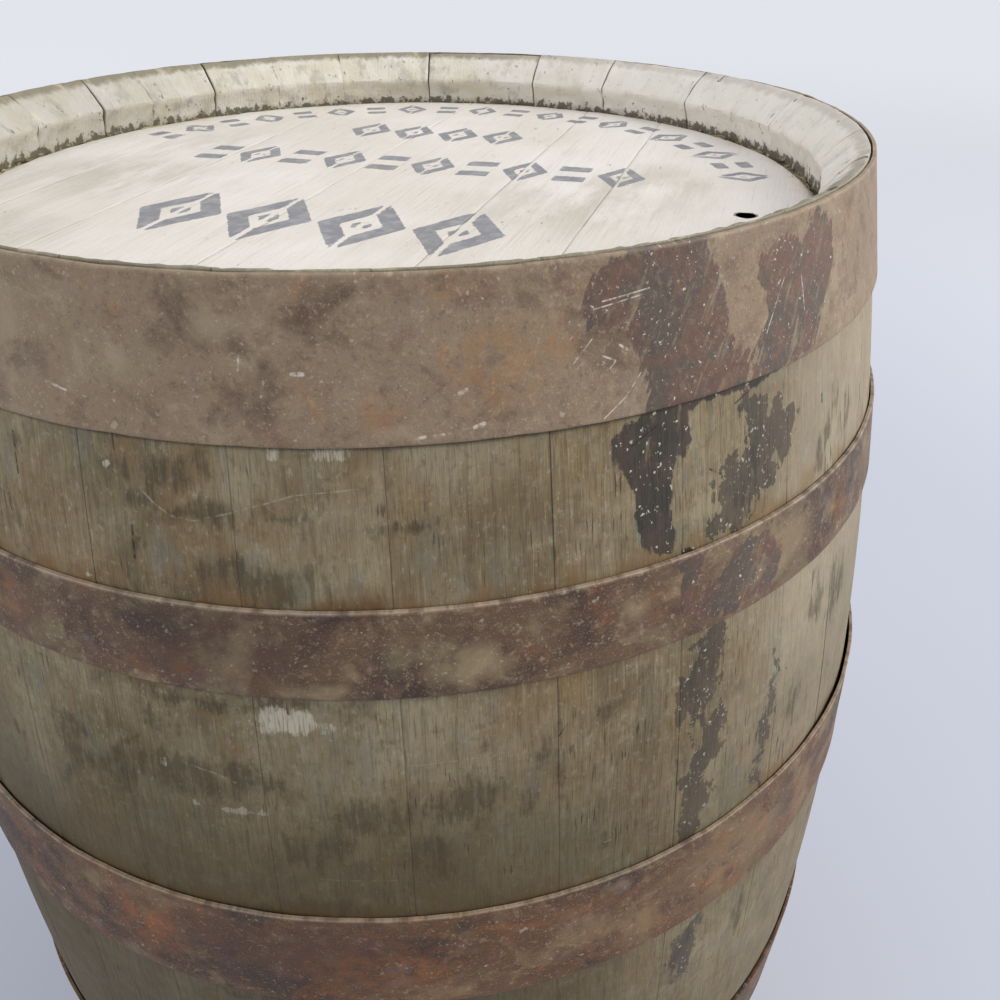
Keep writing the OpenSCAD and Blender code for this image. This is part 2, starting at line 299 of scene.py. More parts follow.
def stave(number):
    start = FIRST_JOINT + sum(STAVE_WIDTHS[:number - 1])
    width = STAVE_WIDTHS[number - 1]
    name = "bung_stave" if number == BUNG_STAVE else f"stave_{number:02d}"
    rows = stave_rows()
    z = rows[:, 0][:, None]
    depth = np.minimum(z, HEIGHT - z)
    edge = np.array([0, 0.35, 0.9, 2.0, 4.0]) / (math.radians(1) * MEAN_R)
    inner_part = np.linspace(edge[-1], width - edge[-1], max(6, int(width * 5.1 / 4.5)))[1:-1]
    across = np.concatenate([edge, inner_part, width - edge[::-1]])
    n = len(across)
    arc = across[None, :] * math.radians(1) * MEAN_R
    from_edge = np.minimum(arc, width * math.radians(1) * MEAN_R - arc)
    t = across[None, :] / width

    def surface(inside):
        gap = np.where(t < 0.5, joint_gap(number - 1, inside, depth), -joint_gap(number, inside, depth))
        pull = gap * (1 - smooth(0, 6, from_edge)) / (math.radians(1) * MEAN_R)
        return start + across[None, :] + pull

    az_out, az_in = surface(False), surface(True)
    seam = 1 - np.clip(from_edge / 1.1, 0, 1)
    filled = 0.45 + 0.35 * noise(np.where(t < 0.5, number - 1, number) * 7.3, z / 70, 0.5, 11)
    r_out = outer_r(z) - 0.22 * filled * seam ** 2
    r_out = r_out - 0.12 * (2 * t - 1) ** 2 + 0.18 * noise(arc / 30 + number * 9, z / 160, 0, 12)
    r_out = r_out - 0.10 + 0.10 * noise(arc / 5 + number * 9, z / 45, 4, 13)
    r_out = r_out - 0.6 * (1 - smooth(0, 1.2, depth)) - 0.08 * float(rng.uniform(0, 1))
    step = float(rng.uniform(-0.4, 0.4))
    at_chime = 1 - smooth(36, 39, depth)
    groove = np.where(t < 0.5, 0.9 if number - 1 in JOINT_OPEN else 0.1, 0.9 if number in JOINT_OPEN else 0.1)
    r_in = rows[:, 1][:, None] + at_chime * (
        0.5 + 0.5 * step + 0.9 * noise(arc / 13 + number * 5, z / 7, 2, 14) + 0.6 * noise(arc / 5, z / 4, number, 15)
        + groove * (1 - np.clip(from_edge / 1.3, 0, 1)) ** 2
    )
    r_in = np.where((depth > GROOVE_TOP) & (depth < GROOVE_BOTTOM), rows[:, 1][:, None], r_in)
    drop = float(rng.uniform(0.0, 0.35)) + {10: 0.9, 13: 0.6, 8: 0.4}.get(number, 0.0)
    ragged = 0.12 + 0.12 * noise(arc / 6 + number * 11, 0.5, 0.5, 16)
    chips_out = chip_profile(arc + 0 * z[:1], 100 + number, 3, 0.5)
    chips_in = chip_profile(arc + 0 * z[:1], 300 + number, 6, 2.2)
    sign = np.where(z > MID_Z, -1, 1)
    foot = np.where(z > MID_Z, 1.0, 0.35)
    fade = 1 - smooth(0, 16, depth)
    z_out = z + sign * (drop + ragged + chips_out) * fade * foot
    z_in = z + sign * (drop + ragged + chips_in) * fade * foot

    def ring(az, r, height):
        a = np.radians(az)
        return np.stack([r * np.cos(a), r * np.sin(a), np.broadcast_to(height, a.shape)], -1)

    outer = ring(az_out, r_out, z_out)
    inner = ring(az_in, r_in + 0 * az_in, z_in)[:, ::-1]
    points = np.concatenate([outer, inner], 1)
    outside = np.concatenate([np.ones(az_out.shape), np.zeros(az_in.shape)], 1)
    az_all = np.concatenate([az_out, az_in[:, ::-1]], 1)
    shown = np.where(np.where(t < 0.5, number - 1 in JOINT_OPEN, number in JOINT_OPEN), 1.0, 0.35)
    seam_all = np.concatenate([seam + 0 * az_out, (seam * shown + 0 * az_in)[:, ::-1]], 1)
    depth_top = HEIGHT - np.broadcast_to(z, az_all.shape)
    fields = stain_fields(az_all, depth_top)
    for key in ("tar", "patchy", "pale"):
        fields[key] = np.where(outside > 0.5, fields[key], -40)
    fields["dark"] = fields["dark"] * outside
    chime = (1 - smooth(38, 41, depth_top)) * (1 - outside)
    rim = (1 - smooth(0.4, 1.6, depth_top)) * outside
    fields.update(
        arc=np.radians(az_all) * MEAN_R * MM + number * 1.7,
        run=np.broadcast_to(z, az_all.shape) * MM,
        tone=np.full(az_all.shape, float(noise(number * 5.3, 7, 2, 3))),
        seam=seam_all,
        chime=np.maximum(chime, rim),
        deep=depth_top,
        inside=1 - outside,
        dirt=smooth(95, 150, (az_all + 180) % 360 - 180),
    )
    obj = mesh_object(name + "_oak", points.reshape(-1, 3), tube_quads(len(rows), 2 * n), fields)
    return obj, name


def cut_away(obj, hole, material):
    """Cuts a closed shape out of a finished mesh and drops the shape."""
    hole.data.materials.append(material)
    cut = obj.modifiers.new("hole", "BOOLEAN")
    cut.object = hole
    cut.operation = "DIFFERENCE"
    cut.solver = "EXACT"
    depsgraph = bpy.context.evaluated_depsgraph_get()
    cut_mesh = bpy.data.meshes.new_from_object(obj.evaluated_get(depsgraph))
    obj.modifiers.clear()
    obj.data = cut_mesh
    bpy.data.objects.remove(hole)


def cut_bung_hole(obj, material):
    wide, narrow = 25.1 + 0.6, 25.1 - 1.95 - 0.6
    hole = lathe("bung_hole_cutter", [(0, -12), (narrow, -12), (wide, 39), (0, 39)], 72, {})
    place_on_bung_axis(hole)
    cut_away(obj, hole, material)


def cut_spile_hole(obj, material):
    grain = math.radians(TOP_GRAIN)
    along, across = SPILE_AT
    top = HEIGHT - HEAD_RECESS
    hole = lathe("spile_hole_cutter", [(0, top - 20), (5.2, top - 20), (5.2, top - 0.8), (5.9, top + 4), (0, top + 4)], 32, {})
    hole.data.transform(Matrix.Translation((
        (along * math.cos(grain) - across * math.sin(grain)) * MM,
        (along * math.sin(grain) + across * math.cos(grain)) * MM, 0)))
    cut_away(obj, hole, material)


# ---------------------------------------------------------------- turned pieces
def lathe(name, profile, steps, fields, wobble=None):
    """Turns (radius, height) points about Z into a closed mesh."""
    prof = np.array(profile, float)
    a = np.linspace(0, 2 * math.pi, steps, endpoint=False)
    r = np.maximum(prof[:, 0], 1e-3)[:, None] * np.ones(steps)
    h = prof[:, 1][:, None] * np.ones(steps)
    if wobble:
        r, h = wobble(r, h, a[None, :])
    pts = np.stack([r * np.cos(a), r * np.sin(a), h], -1).reshape(-1, 3)
    rows = len(prof)
    quads = tube_quads(rows, steps, capped=False)
    obj = mesh_object(name, pts, quads, {k: np.broadcast_to(v, r.shape) for k, v in fields.items()})
    return obj


def place_on_bung_axis(obj):
    """Turns a piece made along +Z to lie along +Y, its zero at the bung's inner end."""
    co = np.zeros(len(obj.data.vertices) * 3, np.float32)
    obj.data.vertices.foreach_get("co", co)
    co = co.reshape(-1, 3)
    inner_end = (BILGE_R + 0.5 - 36.0) * MM
    moved = np.stack([-co[:, 0], co[:, 2] + inner_end, co[:, 1] + MID_Z * MM], -1)
    obj.data.vertices.foreach_set("co", moved.astype(np.float32).ravel())
    obj.data.update()


# ---------------------------------------------------------------- hoops
def hoop_radius(d, width):
    return float(outer_r(HEIGHT - d)) + HOOP_GAP + width * width / (8 * BEND_R)


def hoop(name, start, width, lap, upper):
    turn = 1 if upper else -1
    first = lap - LAP_ANGLE / 2 + 0.4
    last = lap + LAP_ANGLE / 2 + 360
    a = np.linspace(first, last, 540)[:, None]
    lift = (HOOP_T + 0.05) * smooth(lap - LAP_ANGLE / 2 + 360 - RISE_ANGLE, lap - LAP_ANGLE / 2 + 360, a)
    corner = 0.45
    count = int(width / 3.0)
    f = np.concatenate([[corner * 0.0], [0.25, 0.7, 1.6], np.linspace(3, width - 3, count), [width - 1.6, width - 0.7],
                        [width - 0.25, width]])
    round_off = corner * np.clip(1 - np.minimum(f, width - f) / 0.7, 0, 1) ** 2
    inner_f = f[::-1]
    k = len(f)
    across = np.concatenate([f, inner_f])[None, :]
    lower, above = hoop_radius(start + width, width), hoop_radius(start, width)
    base = lower + (above - lower) * across / width
    thick = np.concatenate([HOOP_T - round_off, np.zeros(k)])[None, :]
    arc = a * math.radians(1) * MEAN_R
    wave = 0.22 * noise(arc / 90, across / 60, start, 21) + 0.12 * noise(arc / 24, across / 20, start, 22)
    if name == "top_bilge_hoop":
        loose = smooth(-52, -34, ((a + 180) % 360) - 180) * (1 - smooth(-30, -8, ((a + 180) % 360) - 180))
        wave = wave + 1.3 * loose * smooth(0.2, 1.0, across / width)
    rolled = 0.35 * smooth(width - 6, width, across) * (0.5 + 0.5 * noise(arc / 18, 0.5, start, 25))
    r = base + lift + thick + wave + rolled
    ragged = 0.35 * noise(arc / 26, 0.5, start, 23) + 0.22 * noise(arc / 6, 0.5, start, 24)
    near_edge = smooth(width * 0.5, width, across) - smooth(width * 0.5, width, width - across)
    height = HEIGHT - start - width + across + ragged * near_edge
    if start < 10:
        height = np.minimum(height, HEIGHT - 0.6)
    az = a * np.ones_like(across)
    rad = np.radians(az)
    z = height if upper else HEIGHT - height
    if not upper:
        rad = -rad + 2 * math.radians(lap)
    points = np.stack([r * np.cos(rad), r * np.sin(rad), z], -1)
    az_true = np.degrees(rad)
    depth_top = HEIGHT - z
    fields = stain_fields(az_true, depth_top)
    outside = np.concatenate([np.ones(k), np.zeros(k)])[None, :] * np.ones_like(az)
    rim = np.concatenate([np.clip(1 - np.minimum(f, width - f) / 1.2, 0, 1), np.zeros(k)])[None, :]
    fields.update(
        arc=az * math.radians(1) * MEAN_R * MM, run=z * MM, outside=outside,
        edge=rim * np.ones_like(az), top_edge=smooth(width - 1.2, width - 0.1, across) * np.ones_like(az),
        across=across * MM * np.ones_like(az), deep=depth_top,
        end=np.exp(-np.minimum(a - first, last - a) / 0.35) * np.ones_like(az),
        worn=spots(az_true, depth_top, WORN_STEEL), rusted=spots(az_true, depth_top, RUST_STEEL),
    )
    quads = tube_quads(a.size, 2 * k)
    if upper:
        quads = quads[:, ::-1]
    return mesh_object(name + "_steel", points.reshape(-1, 3), quads, fields)


def rivets():
    """Hammered rivet heads, two to a lap, each a separate closed shape in one piece."""
    objs = []
    for name, (start, width, lap, upper) in HOOPS.items():
        for k in (-1, 1):
            depth = start + width * (0.5 + 0.2 * k)
            u = (depth - start) / width
            along = hoop_radius(start, width) * (1 - u) + hoop_radius(start + width, width) * u
            tilt = math.atan((hoop_radius(start + width, width) - hoop_radius(start, width)) / width)
            seat = 2 * HOOP_T + 0.1
            profile = [(0, 0.05), (2.9, 0.05), (2.9, seat), (6.1, seat), (6.2, seat + 0.5), (5.6, seat + 1.5),
                       (4.3, seat + 2.3), (2.4, seat + 2.75), (0, seat + 2.9)]
            seed = len(objs) * 3.1

            def wobble(r, h, ang, seed=seed):
                n1 = noise(np.cos(ang) * 1.3 + seed, np.sin(ang) * 1.3, h / 2, 31)
                return r * (1 + 0.05 * n1 * (h > seat)), h + 0.18 * n1 * (h > seat + 1)

            obj = lathe(f"rivet_{len(objs)}", profile, 28, {}, wobble)
            co = np.zeros(len(obj.data.vertices) * 3, np.float32)
            obj.data.vertices.foreach_get("co", co)
            co = co.reshape(-1, 3) / MM
            side = co[:, 1].copy()
            radial = along + co[:, 2] * math.cos(tilt) - co[:, 0] * math.sin(tilt)
            rise = HEIGHT - depth + co[:, 2] * math.sin(tilt) + co[:, 0] * math.cos(tilt)
            ang = math.radians(lap + k * 2.8 * (1 if upper else 1))
            x = radial * math.cos(ang) - side * math.sin(ang)
            y = radial * math.sin(ang) + side * math.cos(ang)
            z = rise if upper else HEIGHT - rise
            moved = np.stack([x, y, z], -1) * MM
            obj.data.vertices.foreach_set("co", moved.astype(np.float32).ravel())
            objs.append(obj)
    with bpy.context.temp_override(active_object=objs[0], selected_editable_objects=objs):
        bpy.ops.object.join()
    objs[0].name = "hoop_rivets_forged"
    objs[0].data.update()
    return objs[0]


# ---------------------------------------------------------------- heads
def mark_field(x, y):
    """Distance in mm to the painted marks on the upper head, positive inside. They spell nothing."""
    best = np.full(x.shape, -30.0)
    base = math.radians(-22)
    ux, uy = math.cos(base), math.sin(base)

    def bar(cx, cy, turn, long, wide, slant=0.0):
        c, s = math.cos(turn), math.sin(turn)
        lx, ly = (x - cx) * c + (y - cy) * s, (y - cy) * c - (x - cx) * s
        lx = lx - slant * ly
        return np.minimum(long / 2 - np.abs(lx), wide / 2 - np.abs(ly))

    def lozenge(cx, cy, turn, long, tall, split):
        """A diamond ring round a small diamond, parted down the middle like a stencil."""
        c, s = math.cos(turn), math.sin(turn)
        lx, ly = (x - cx) * c + (y - cy) * s, (y - cy) * c - (x - cx) * s
        body = 1 - np.abs(lx) / (long / 2) - np.abs(ly) / (tall / 2)
        shape = np.maximum(np.minimum(body, 0.52 - body), body - 0.74) * min(long, tall) * 0.42
        return np.minimum(shape, np.abs(lx) - split)

    def pair(cx, cy, turn, long, wide, apart):
        """Two short bars one above the other."""
        dx, dy = -math.sin(turn) * apart, math.cos(turn) * apart
        return np.maximum(bar(cx + dx, cy + dy, turn, long, wide), bar(cx - dx, cy - dy, turn, long, wide))

    # large row nearest the front
    for along in (-72, -24, 24, 72):
        cx, cy = -42 + ux * along * 1.1, -86 + uy * along * 1.1
        best = np.maximum(best, lozenge(cx, cy, base, 50, 84, 1.4))
    # middle row, diamonds and paired bars in turn
    for i in range(10):
        along = (i - 4.5) * 30.0
        cx, cy = 12 + ux * along, 33 + uy * along
        if i % 2:
            best = np.maximum(best, lozenge(cx, cy, base, 30, 54, 0.9))
        else:
            best = np.maximum(best, pair(cx, cy, base, 20, 12, 12))
    # short row
    for i in range(4):
        along = (i - 1.5) * 33.0
        best = np.maximum(best, lozenge(33 + ux * along, 121 + uy * along, base, 31, 52, 0.9))
    # arc along the far edge
    for i in range(20):
        ang = math.radians(138 - i * 7.6)
        cx, cy = 213 * math.cos(ang), 213 * math.sin(ang)
        if i % 2:
            best = np.maximum(best, lozenge(cx, cy, ang - math.pi / 2, 24, 38, 0.8))
        else:
            best = np.maximum(best, pair(cx, cy, ang - math.pi / 2, 15, 9, 8))
    return best


def head_rise(r):
    """Drop of the head's outer face below its flat, at radius r."""
    return np.interp(r, [0, BEVEL_R, TONGUE_R, TONGUE_R + 0.05, HEAD_R], [0, 0, 5, 5, 5])


def head_under(r):
    return np.interp(r, [0, TONGUE_R - 20, TONGUE_R, HEAD_R], [24, 24, 11, 11])


CRACKS = {"top": [0.16, 0.26, 0.08, 0.08, 0.08], "bottom": [0.4, 0.5, 0.4, 0.5, 0.4]}


def head_board(end, number, pitch):
    top = end == "top"
    grain = math.radians(TOP_GRAIN if top else BOTTOM_GRAIN)
    gaps = CRACKS[end]
    low = -HEAD_R + 0.6 if number == 1 else BOARD_JOINTS[number - 2] + gaps[number - 2] / 2
    high = HEAD_R - 0.6 if number == 6 else BOARD_JOINTS[number - 1] - gaps[number - 1] / 2
    edge = np.array([0, 0.4, 1.0, 2.0])
    v = np.concatenate([low + edge, np.linspace(low + 3.5, high - 3.5, int((high - low) / pitch)), high - edge[::-1]])
    half = np.sqrt(HEAD_R ** 2 - v ** 2)
    count = int(2 * HEAD_R / pitch)
    t = np.linspace(-1, 1, count)
    # rows crowd towards the round edge, where the bevel and tongue are
    t = np.sign(t) * (1 - (1 - np.abs(t)) ** 1.25)
    u = t[None, :] * half[:, None]
    vv = v[:, None] * np.ones_like(u)
    r = np.hypot(u, vv)
    from_joint = np.full(u.shape, 9.0)
    if number > 1:
        from_joint = np.minimum(from_joint, vv - low)
    if number < 6:
        from_joint = np.minimum(from_joint, high - vv)
    worn = np.clip(1 - from_joint / 1.6, 0, 1) ** 2
    seed = number * 17 + (0 if top else 200)
    level = float(noise(seed, 3, 3, 41)) * 0.35
    cup = 0.5 * ((vv - (low + high) / 2) / max(high - low, 1)) ** 2 * 4 * (0.4 if number % 2 else -0.3)
    face = level + cup - 0.35 * worn * (1 + 0.6 * noise(u / 12, seed, 1, 42))
    face = face + 0.16 * noise(u / 60, vv / 9, seed, 43) + 0.10 * noise(u / 20, vv / 3, seed, 44)
    face = np.where(r > TONGUE_R - 1, 0, face) - head_rise(r)
    under = -head_under(r)
    z_face = HEIGHT - HEAD_RECESS + face
    z_under = HEIGHT - HEAD_RECESS + under
    c, s = math.cos(grain), math.sin(grain)
    x, y = u * c - vv * s, u * s + vv * c
    rows, cols = u.shape
    if not top:
        y, z_face, z_under = y, HEIGHT - z_face, HEIGHT - z_under
    upper_pts = np.stack([x, y, z_face], -1).reshape(-1, 3)
    lower_pts = np.stack([x, y, z_under], -1).reshape(-1, 3)
    points = np.concatenate([upper_pts, lower_pts])
    i = np.arange(rows - 1)[:, None]
    j = np.arange(cols - 1)[None, :]
    a = i * cols + j
    face_quads = np.stack([a, a + 1, a + cols + 1, a + cols], -1).reshape(-1, 4)
    n = rows * cols
    under_quads = face_quads[:, ::-1] + n
    border = np.concatenate([
        np.arange(cols - 1), np.arange(rows - 1) * cols + cols - 1,
        (rows - 1) * cols + np.arange(cols - 1, 0, -1), np.arange(rows - 1, 0, -1) * cols,
    ])
    ahead = np.roll(border, -1)
    wall = np.stack([border + n, ahead + n, ahead, border], -1)
    quads = np.concatenate([face_quads, under_quads, wall])
    if top:
        quads = quads[:, ::-1]
    x2, y2 = np.concatenate([x, x]), np.concatenate([y, y])
    is_face = np.concatenate([np.ones(u.shape), np.zeros(u.shape)])
    fields = dict(
        along=np.concatenate([u, u]) * MM, cross=np.concatenate([vv, vv]) * MM + number * 0.9,
        tone=np.full(x2.shape, float(noise(seed, 1.5, 2, 45))), crack=np.concatenate([worn, np.ones(u.shape)]),
        face=is_face, reach=np.concatenate([r, r]) * MM,
        flatx=x2 * MM, flaty=y2 * MM,
        mark=np.where(is_face > 0.5, mark_field(x2, y2), -30) if top else np.full(x2.shape, -30.0),
        spile=np.concatenate([np.hypot(u - SPILE_AT[0], vv - SPILE_AT[1])] * 2) if top else np.full(x2.shape, 99.0),
    )
    name = f"{end}_head_board_{number}"
    return mesh_object(name + "_oak", points, quads, fields), name


def flag_leaves(end):
    """Dried flag leaves packed round a head's edge, their torn ends showing in the gap."""
    top = end == "top"
    r = np.random.default_rng(77 if top else 78)
    pts, quads, shade = [], [], []
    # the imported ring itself
    steps = 240
    a = np.linspace(0, 2 * math.pi, steps, endpoint=False)
    section = [(254.85, 45.8), (256.3, 45.8), (256.3, 40.2), (254.85, 40.2)]
    for radius, depth in section:
        wav = 0.1 * noise(a * 20, depth, 0, 51)
        pts.append(np.stack([(radius + wav) * np.cos(a), (radius + wav) * np.sin(a), np.full(steps, HEIGHT - depth)], -1))
        shade.append(np.full(steps, 0.3))
    base = np.arange(4)[:, None] * steps + np.arange(steps)[None, :]
    nxt_ring = np.roll(base, -1, 0)
    nxt = np.roll(base, -1, 1)
    both = np.roll(nxt_ring, -1, 1)
    quads.append(np.stack([base, nxt, both, nxt_ring], -1).reshape(-1, 4))
    total = 4 * steps
    # torn leaf ends
    for _ in range(420):
        at = r.uniform(0, 2 * math.pi)
        length = r.uniform(4, 22)
        wide = r.uniform(0.5, 1.6)
        radius = r.uniform(249.6, 251.6)
        depth = r.uniform(36.2, 40.0)
        rise = r.uniform(-1.6, 1.6)
        lean = r.uniform(-0.8, 0.8)
        k = np.linspace(0, 1, 5)
        ang = at + (k - 0.5) * length / radius
        mid_r = radius + lean * (k - 0.5) + 0.4 * np.sin(k * math.pi)
        mid_z = HEIGHT - depth + rise * (k - 0.5) + 0.5 * np.sin(k * math.pi * 2 + at)
        taper = wide * (0.35 + 0.65 * np.sin(k * math.pi)) / 2
        thick = 0.25
        rails = []
        for dr, dz in ((-thick, -1), (thick, -1), (thick, 1), (-thick, 1)):
            rr = mid_r + dr
            zz = mid_z + dz * taper
            rails.append(np.stack([rr * np.cos(ang), rr * np.sin(ang), zz], -1))
        strip = np.stack(rails, 1).reshape(-1, 3)
        pts.append(strip)
        shade.append(np.full(len(strip), r.uniform(0, 1)))
        q = tube_quads(5, 4) + total
        quads.append(q)
        total += len(strip)
    points = np.concatenate(pts)
    if not top:
        points[:, 2] = HEIGHT - points[:, 2]
    all_quads = np.concatenate(quads)
    return mesh_object(f"{end}_head_flag_leaves", points, all_quads, {"shade": np.concatenate(shade)})


# ---------------------------------------------------------------- materials
def srgb(r, g, b):
    def lin(c):
        c = c / 255
        return c / 12.92 if c <= 0.04045 else ((c + 0.055) / 1.055) ** 2.4
    return (lin(r), lin(g), lin(b), 1.0)


class Shader:
    """A few short words for building a node tree."""

    def __init__(self, name):
        self.mat = bpy.data.materials.new(name)
        self.mat.use_nodes = True
        self.tree = self.mat.node_tree
        self.tree.nodes.clear()
        self.out = self.tree.nodes.new("ShaderNodeOutputMaterial")
        self.bsdf = self.tree.nodes.new("ShaderNodeBsdfPrincipled")
        self.tree.links.new(self.bsdf.outputs[0], self.out.inputs[0])

    def put(self, socket, value):
        if isinstance(value, bpy.types.NodeSocket):
            self.tree.links.new(value, socket)
        else:
            socket.default_value = value

    def attr(self, name):
        node = self.tree.nodes.new("ShaderNodeAttribute")
        node.attribute_name = name
        return node.outputs["Fac"]

    def math(self, op, a, b=0.0, clamp=False):
        node = self.tree.nodes.new("ShaderNodeMath")
        node.operation = op
        node.use_clamp = clamp
        self.put(node.inputs[0], a)
        self.put(node.inputs[1], b)
        return node.outputs[0]

    def vec(self, x, y, z):
        node = self.tree.nodes.new("ShaderNodeCombineXYZ")
        for socket, value in zip(node.inputs, (x, y, z)):
            self.put(socket, value)
        return node.outputs[0]

    def stretched(self, a, b, c, fa=1.0, fb=1.0, fc=1.0):
        parts = [v if f == 1.0 else self.math("MULTIPLY", v, f) for v, f in ((a, fa), (b, fb), (c, fc))]
        return self.vec(*parts)

    def noise(self, vector, scale, detail=3.0, rough=0.55, distort=0.0):
        node = self.tree.nodes.new("ShaderNodeTexNoise")
        self.put(node.inputs["Vector"], vector)
        node.inputs["Scale"].default_value = scale
        node.inputs["Detail"].default_value = detail
        node.inputs["Roughness"].default_value = rough
        node.inputs["Distortion"].default_value = distort
        return node.outputs["Fac"]

    def cells(self, vector, scale):
        node = self.tree.nodes.new("ShaderNodeTexVoronoi")
        self.put(node.inputs["Vector"], vector)
        node.inputs["Scale"].default_value = scale
        return node.outputs["Distance"]

    def band(self, value, lo, hi, to_lo=0.0, to_hi=1.0):
        node = self.tree.nodes.new("ShaderNodeMapRange")
        node.interpolation_type = "SMOOTHSTEP"
        self.put(node.inputs["Value"], value)
        node.inputs["From Min"].default_value = lo
        node.inputs["From Max"].default_value = hi
        node.inputs["To Min"].default_value = to_lo
        node.inputs["To Max"].default_value = to_hi
        return node.outputs["Result"]

    def mix(self, fac, a, b, blend="MIX"):
        node = self.tree.nodes.new("ShaderNodeMix")
        node.data_type = "RGBA"
        node.blend_type = blend
        self.put(node.inputs["Factor"], fac)
        self.put(node.inputs[6], a)
        self.put(node.inputs[7], b)
        return node.outputs[2]

    def ramp(self, value, stops):
        node = self.tree.nodes.new("ShaderNodeValToRGB")
        while len(node.color_ramp.elements) < len(stops):
            node.color_ramp.elements.new(0.5)
        for element, (at, colour) in zip(node.color_ramp.elements, stops):
            element.position = at
            element.color = colour
        self.put(node.inputs[0], value)
        return node.outputs[0]

    def near_line(self, point, ends, width):
        """1 on a straight scratch between two (arc, depth) points in mm, 0 beyond its width."""
        (ax, ay), (bx, by) = ends
        run = ((bx - ax) ** 2 + (by - ay) ** 2) or 1.0
        start = self.tree.nodes.new("ShaderNodeVectorMath")
        start.operation = "SUBTRACT"
        self.put(start.inputs[0], point)
        start.inputs[1].default_value = (ax, ay, 0)
        dot = self.tree.nodes.new("ShaderNodeVectorMath")
        dot.operation = "DOT_PRODUCT"
        self.put(dot.inputs[0], start.outputs[0])
        dot.inputs[1].default_value = ((bx - ax) / run, (by - ay) / run, 0)
        t = self.math("MULTIPLY", dot.outputs["Value"], 1.0, clamp=True)
        foot = self.tree.nodes.new("ShaderNodeVectorMath")
        foot.operation = "SCALE"
        foot.inputs[0].default_value = (bx - ax, by - ay, 0)
        self.put(foot.inputs["Scale"], t)
        away = self.tree.nodes.new("ShaderNodeVectorMath")
        away.operation = "DISTANCE"
        self.put(away.inputs[0], start.outputs[0])
        self.put(away.inputs[1], foot.outputs[0])
        return self.band(away.outputs["Value"], width, width * 0.35)

    def lines(self, point, table):
        """All the scratches of a table of (azimuth, depth, azimuth, depth, width)."""
        total = None
        for a0, d0, a1, d1, width in table:
            one = self.near_line(point, ((a0 * ARC, d0), (a1 * ARC, d1)), width)
            total = one if total is None else self.math("MAXIMUM", total, one)
        return total

    def bump(self, height, distance, strength=1.0, normal=None):
        node = self.tree.nodes.new("ShaderNodeBump")
        node.inputs["Strength"].default_value = strength
        node.inputs["Distance"].default_value = distance
        self.put(node.inputs["Height"], height)
        if normal is not None:
            self.put(node.inputs["Normal"], normal)
        return node.outputs[0]

    def finish(self, colour, rough, normal, specular=0.35, metallic=0.0):
        self.put(self.bsdf.inputs["Base Color"], colour)
        self.put(self.bsdf.inputs["Roughness"], rough)
        self.put(self.bsdf.inputs["Normal"], normal)
        self.bsdf.inputs["Specular IOR Level"].default_value = specular
        self.bsdf.inputs["Metallic"].default_value = metallic
        return self.mat


# Scratches: azimuth and depth of both ends, and width in mm
STAVE_SCRATCHES = [
    (-100, 278, -93.4, 279, 0.5), (-110.7, 216, -108.2, 219, 0.7), (-108.2, 219, -106.4, 223, 0.7),
    (-112, 82, -110.6, 89, 0.6), (-110.6, 89, -109.2, 94, 0.7), (-109.2, 94, -107.2, 95, 0.7),
    (-107.2, 95, -104.5, 91, 0.6), (-104.5, 91, -99, 82, 0.5), (-99, 82, -93, 79, 0.4), (-92, 210, -86, 209, 0.4),
]
STAVE_CUTS = [
    (-124, 72, -124, 90, 0.7), (-112.7, 99, -112.8, 115, 0.9), (-64, 96, -62.8, 100, 0.7), (-47.5, 88, -47.4, 92, 1.0),
    (-79, 206, -78.2, 200, 0.5), (-69.5, 70, -72, 76, 0.6), (-58, 66, -61, 71, 0.6),
]
HOOP_SCRATCHES = [
    (-74.4, 17, -70.2, 15, 0.4), (-75.4, 19.5, -70.8, 16.8, 0.35), (-77, 38, -75.4, 30, 0.3),
    (-74.6, 61, -72.6, 54, 0.3), (-72.6, 54, -71.2, 46, 0.3), (-74.5, 37, -73.4, 39.5, 0.5),
    (-73.4, 39.5, -73.9, 42, 0.4), (-73.0, 34, -72.4, 36, 0.7), (-57.5, 45, -55.6, 30, 0.35),
    (-55.6, 30, -54.4, 22, 0.3), (-52.2, 27, -51.8, 42, 0.4), (-118.9, 46, -117, 48, 0.7), (-98.3, 35, -97.5, 35, 1.1),
    (-89.4, 59.5, -88.8, 59, 0.9), (-88.2, 59.5, -87.4, 59, 1.1), (-85, 57, -84.3, 56, 1.1), (-86, 44, -85.5, 43, 1.2),
    (-102.3, 34, -102.2, 29, 0.6),
]
# Pale worn patches and orange rust on the hoops: place (azimuth, depth) and size in mm
WORN_STEEL = [
    ((-86, 157), (22, 12)), ((-95.4, 158), (5, 7)), ((-122.5, 38), (9, 40)), ((-98, 168), (26, 5)), 
    ((-112, 33), (7, 6)), ((-115.8, 33), (3, 6)), ((-104, 18), (14, 8)), ((-91, 57), (10, 4)),
    ((-55, 345), (7, 14)), ((-70, 350), (20, 20)), ((-72, 146), (9, 10)), ((-46, 350), (14, 30)),
    ((-56, 148), (44, 30)), ((-58, 340), (60, 40)),
]
RUST_STEEL = [
    ((-83, 36), (24, 22)), ((-92, 50), (12, 10)), ((-109.5, 161), (7, 5)), ((-127, 150), (16, 14)), ((-96, 340), (50, 22)),
    ((-58, 370), (8, 18)), ((-44, 150), (12, 16)), ((-118, 340), (22, 22)), ((-70, 150), (9, 9)), ((-78, 28), (10, 12)),
]


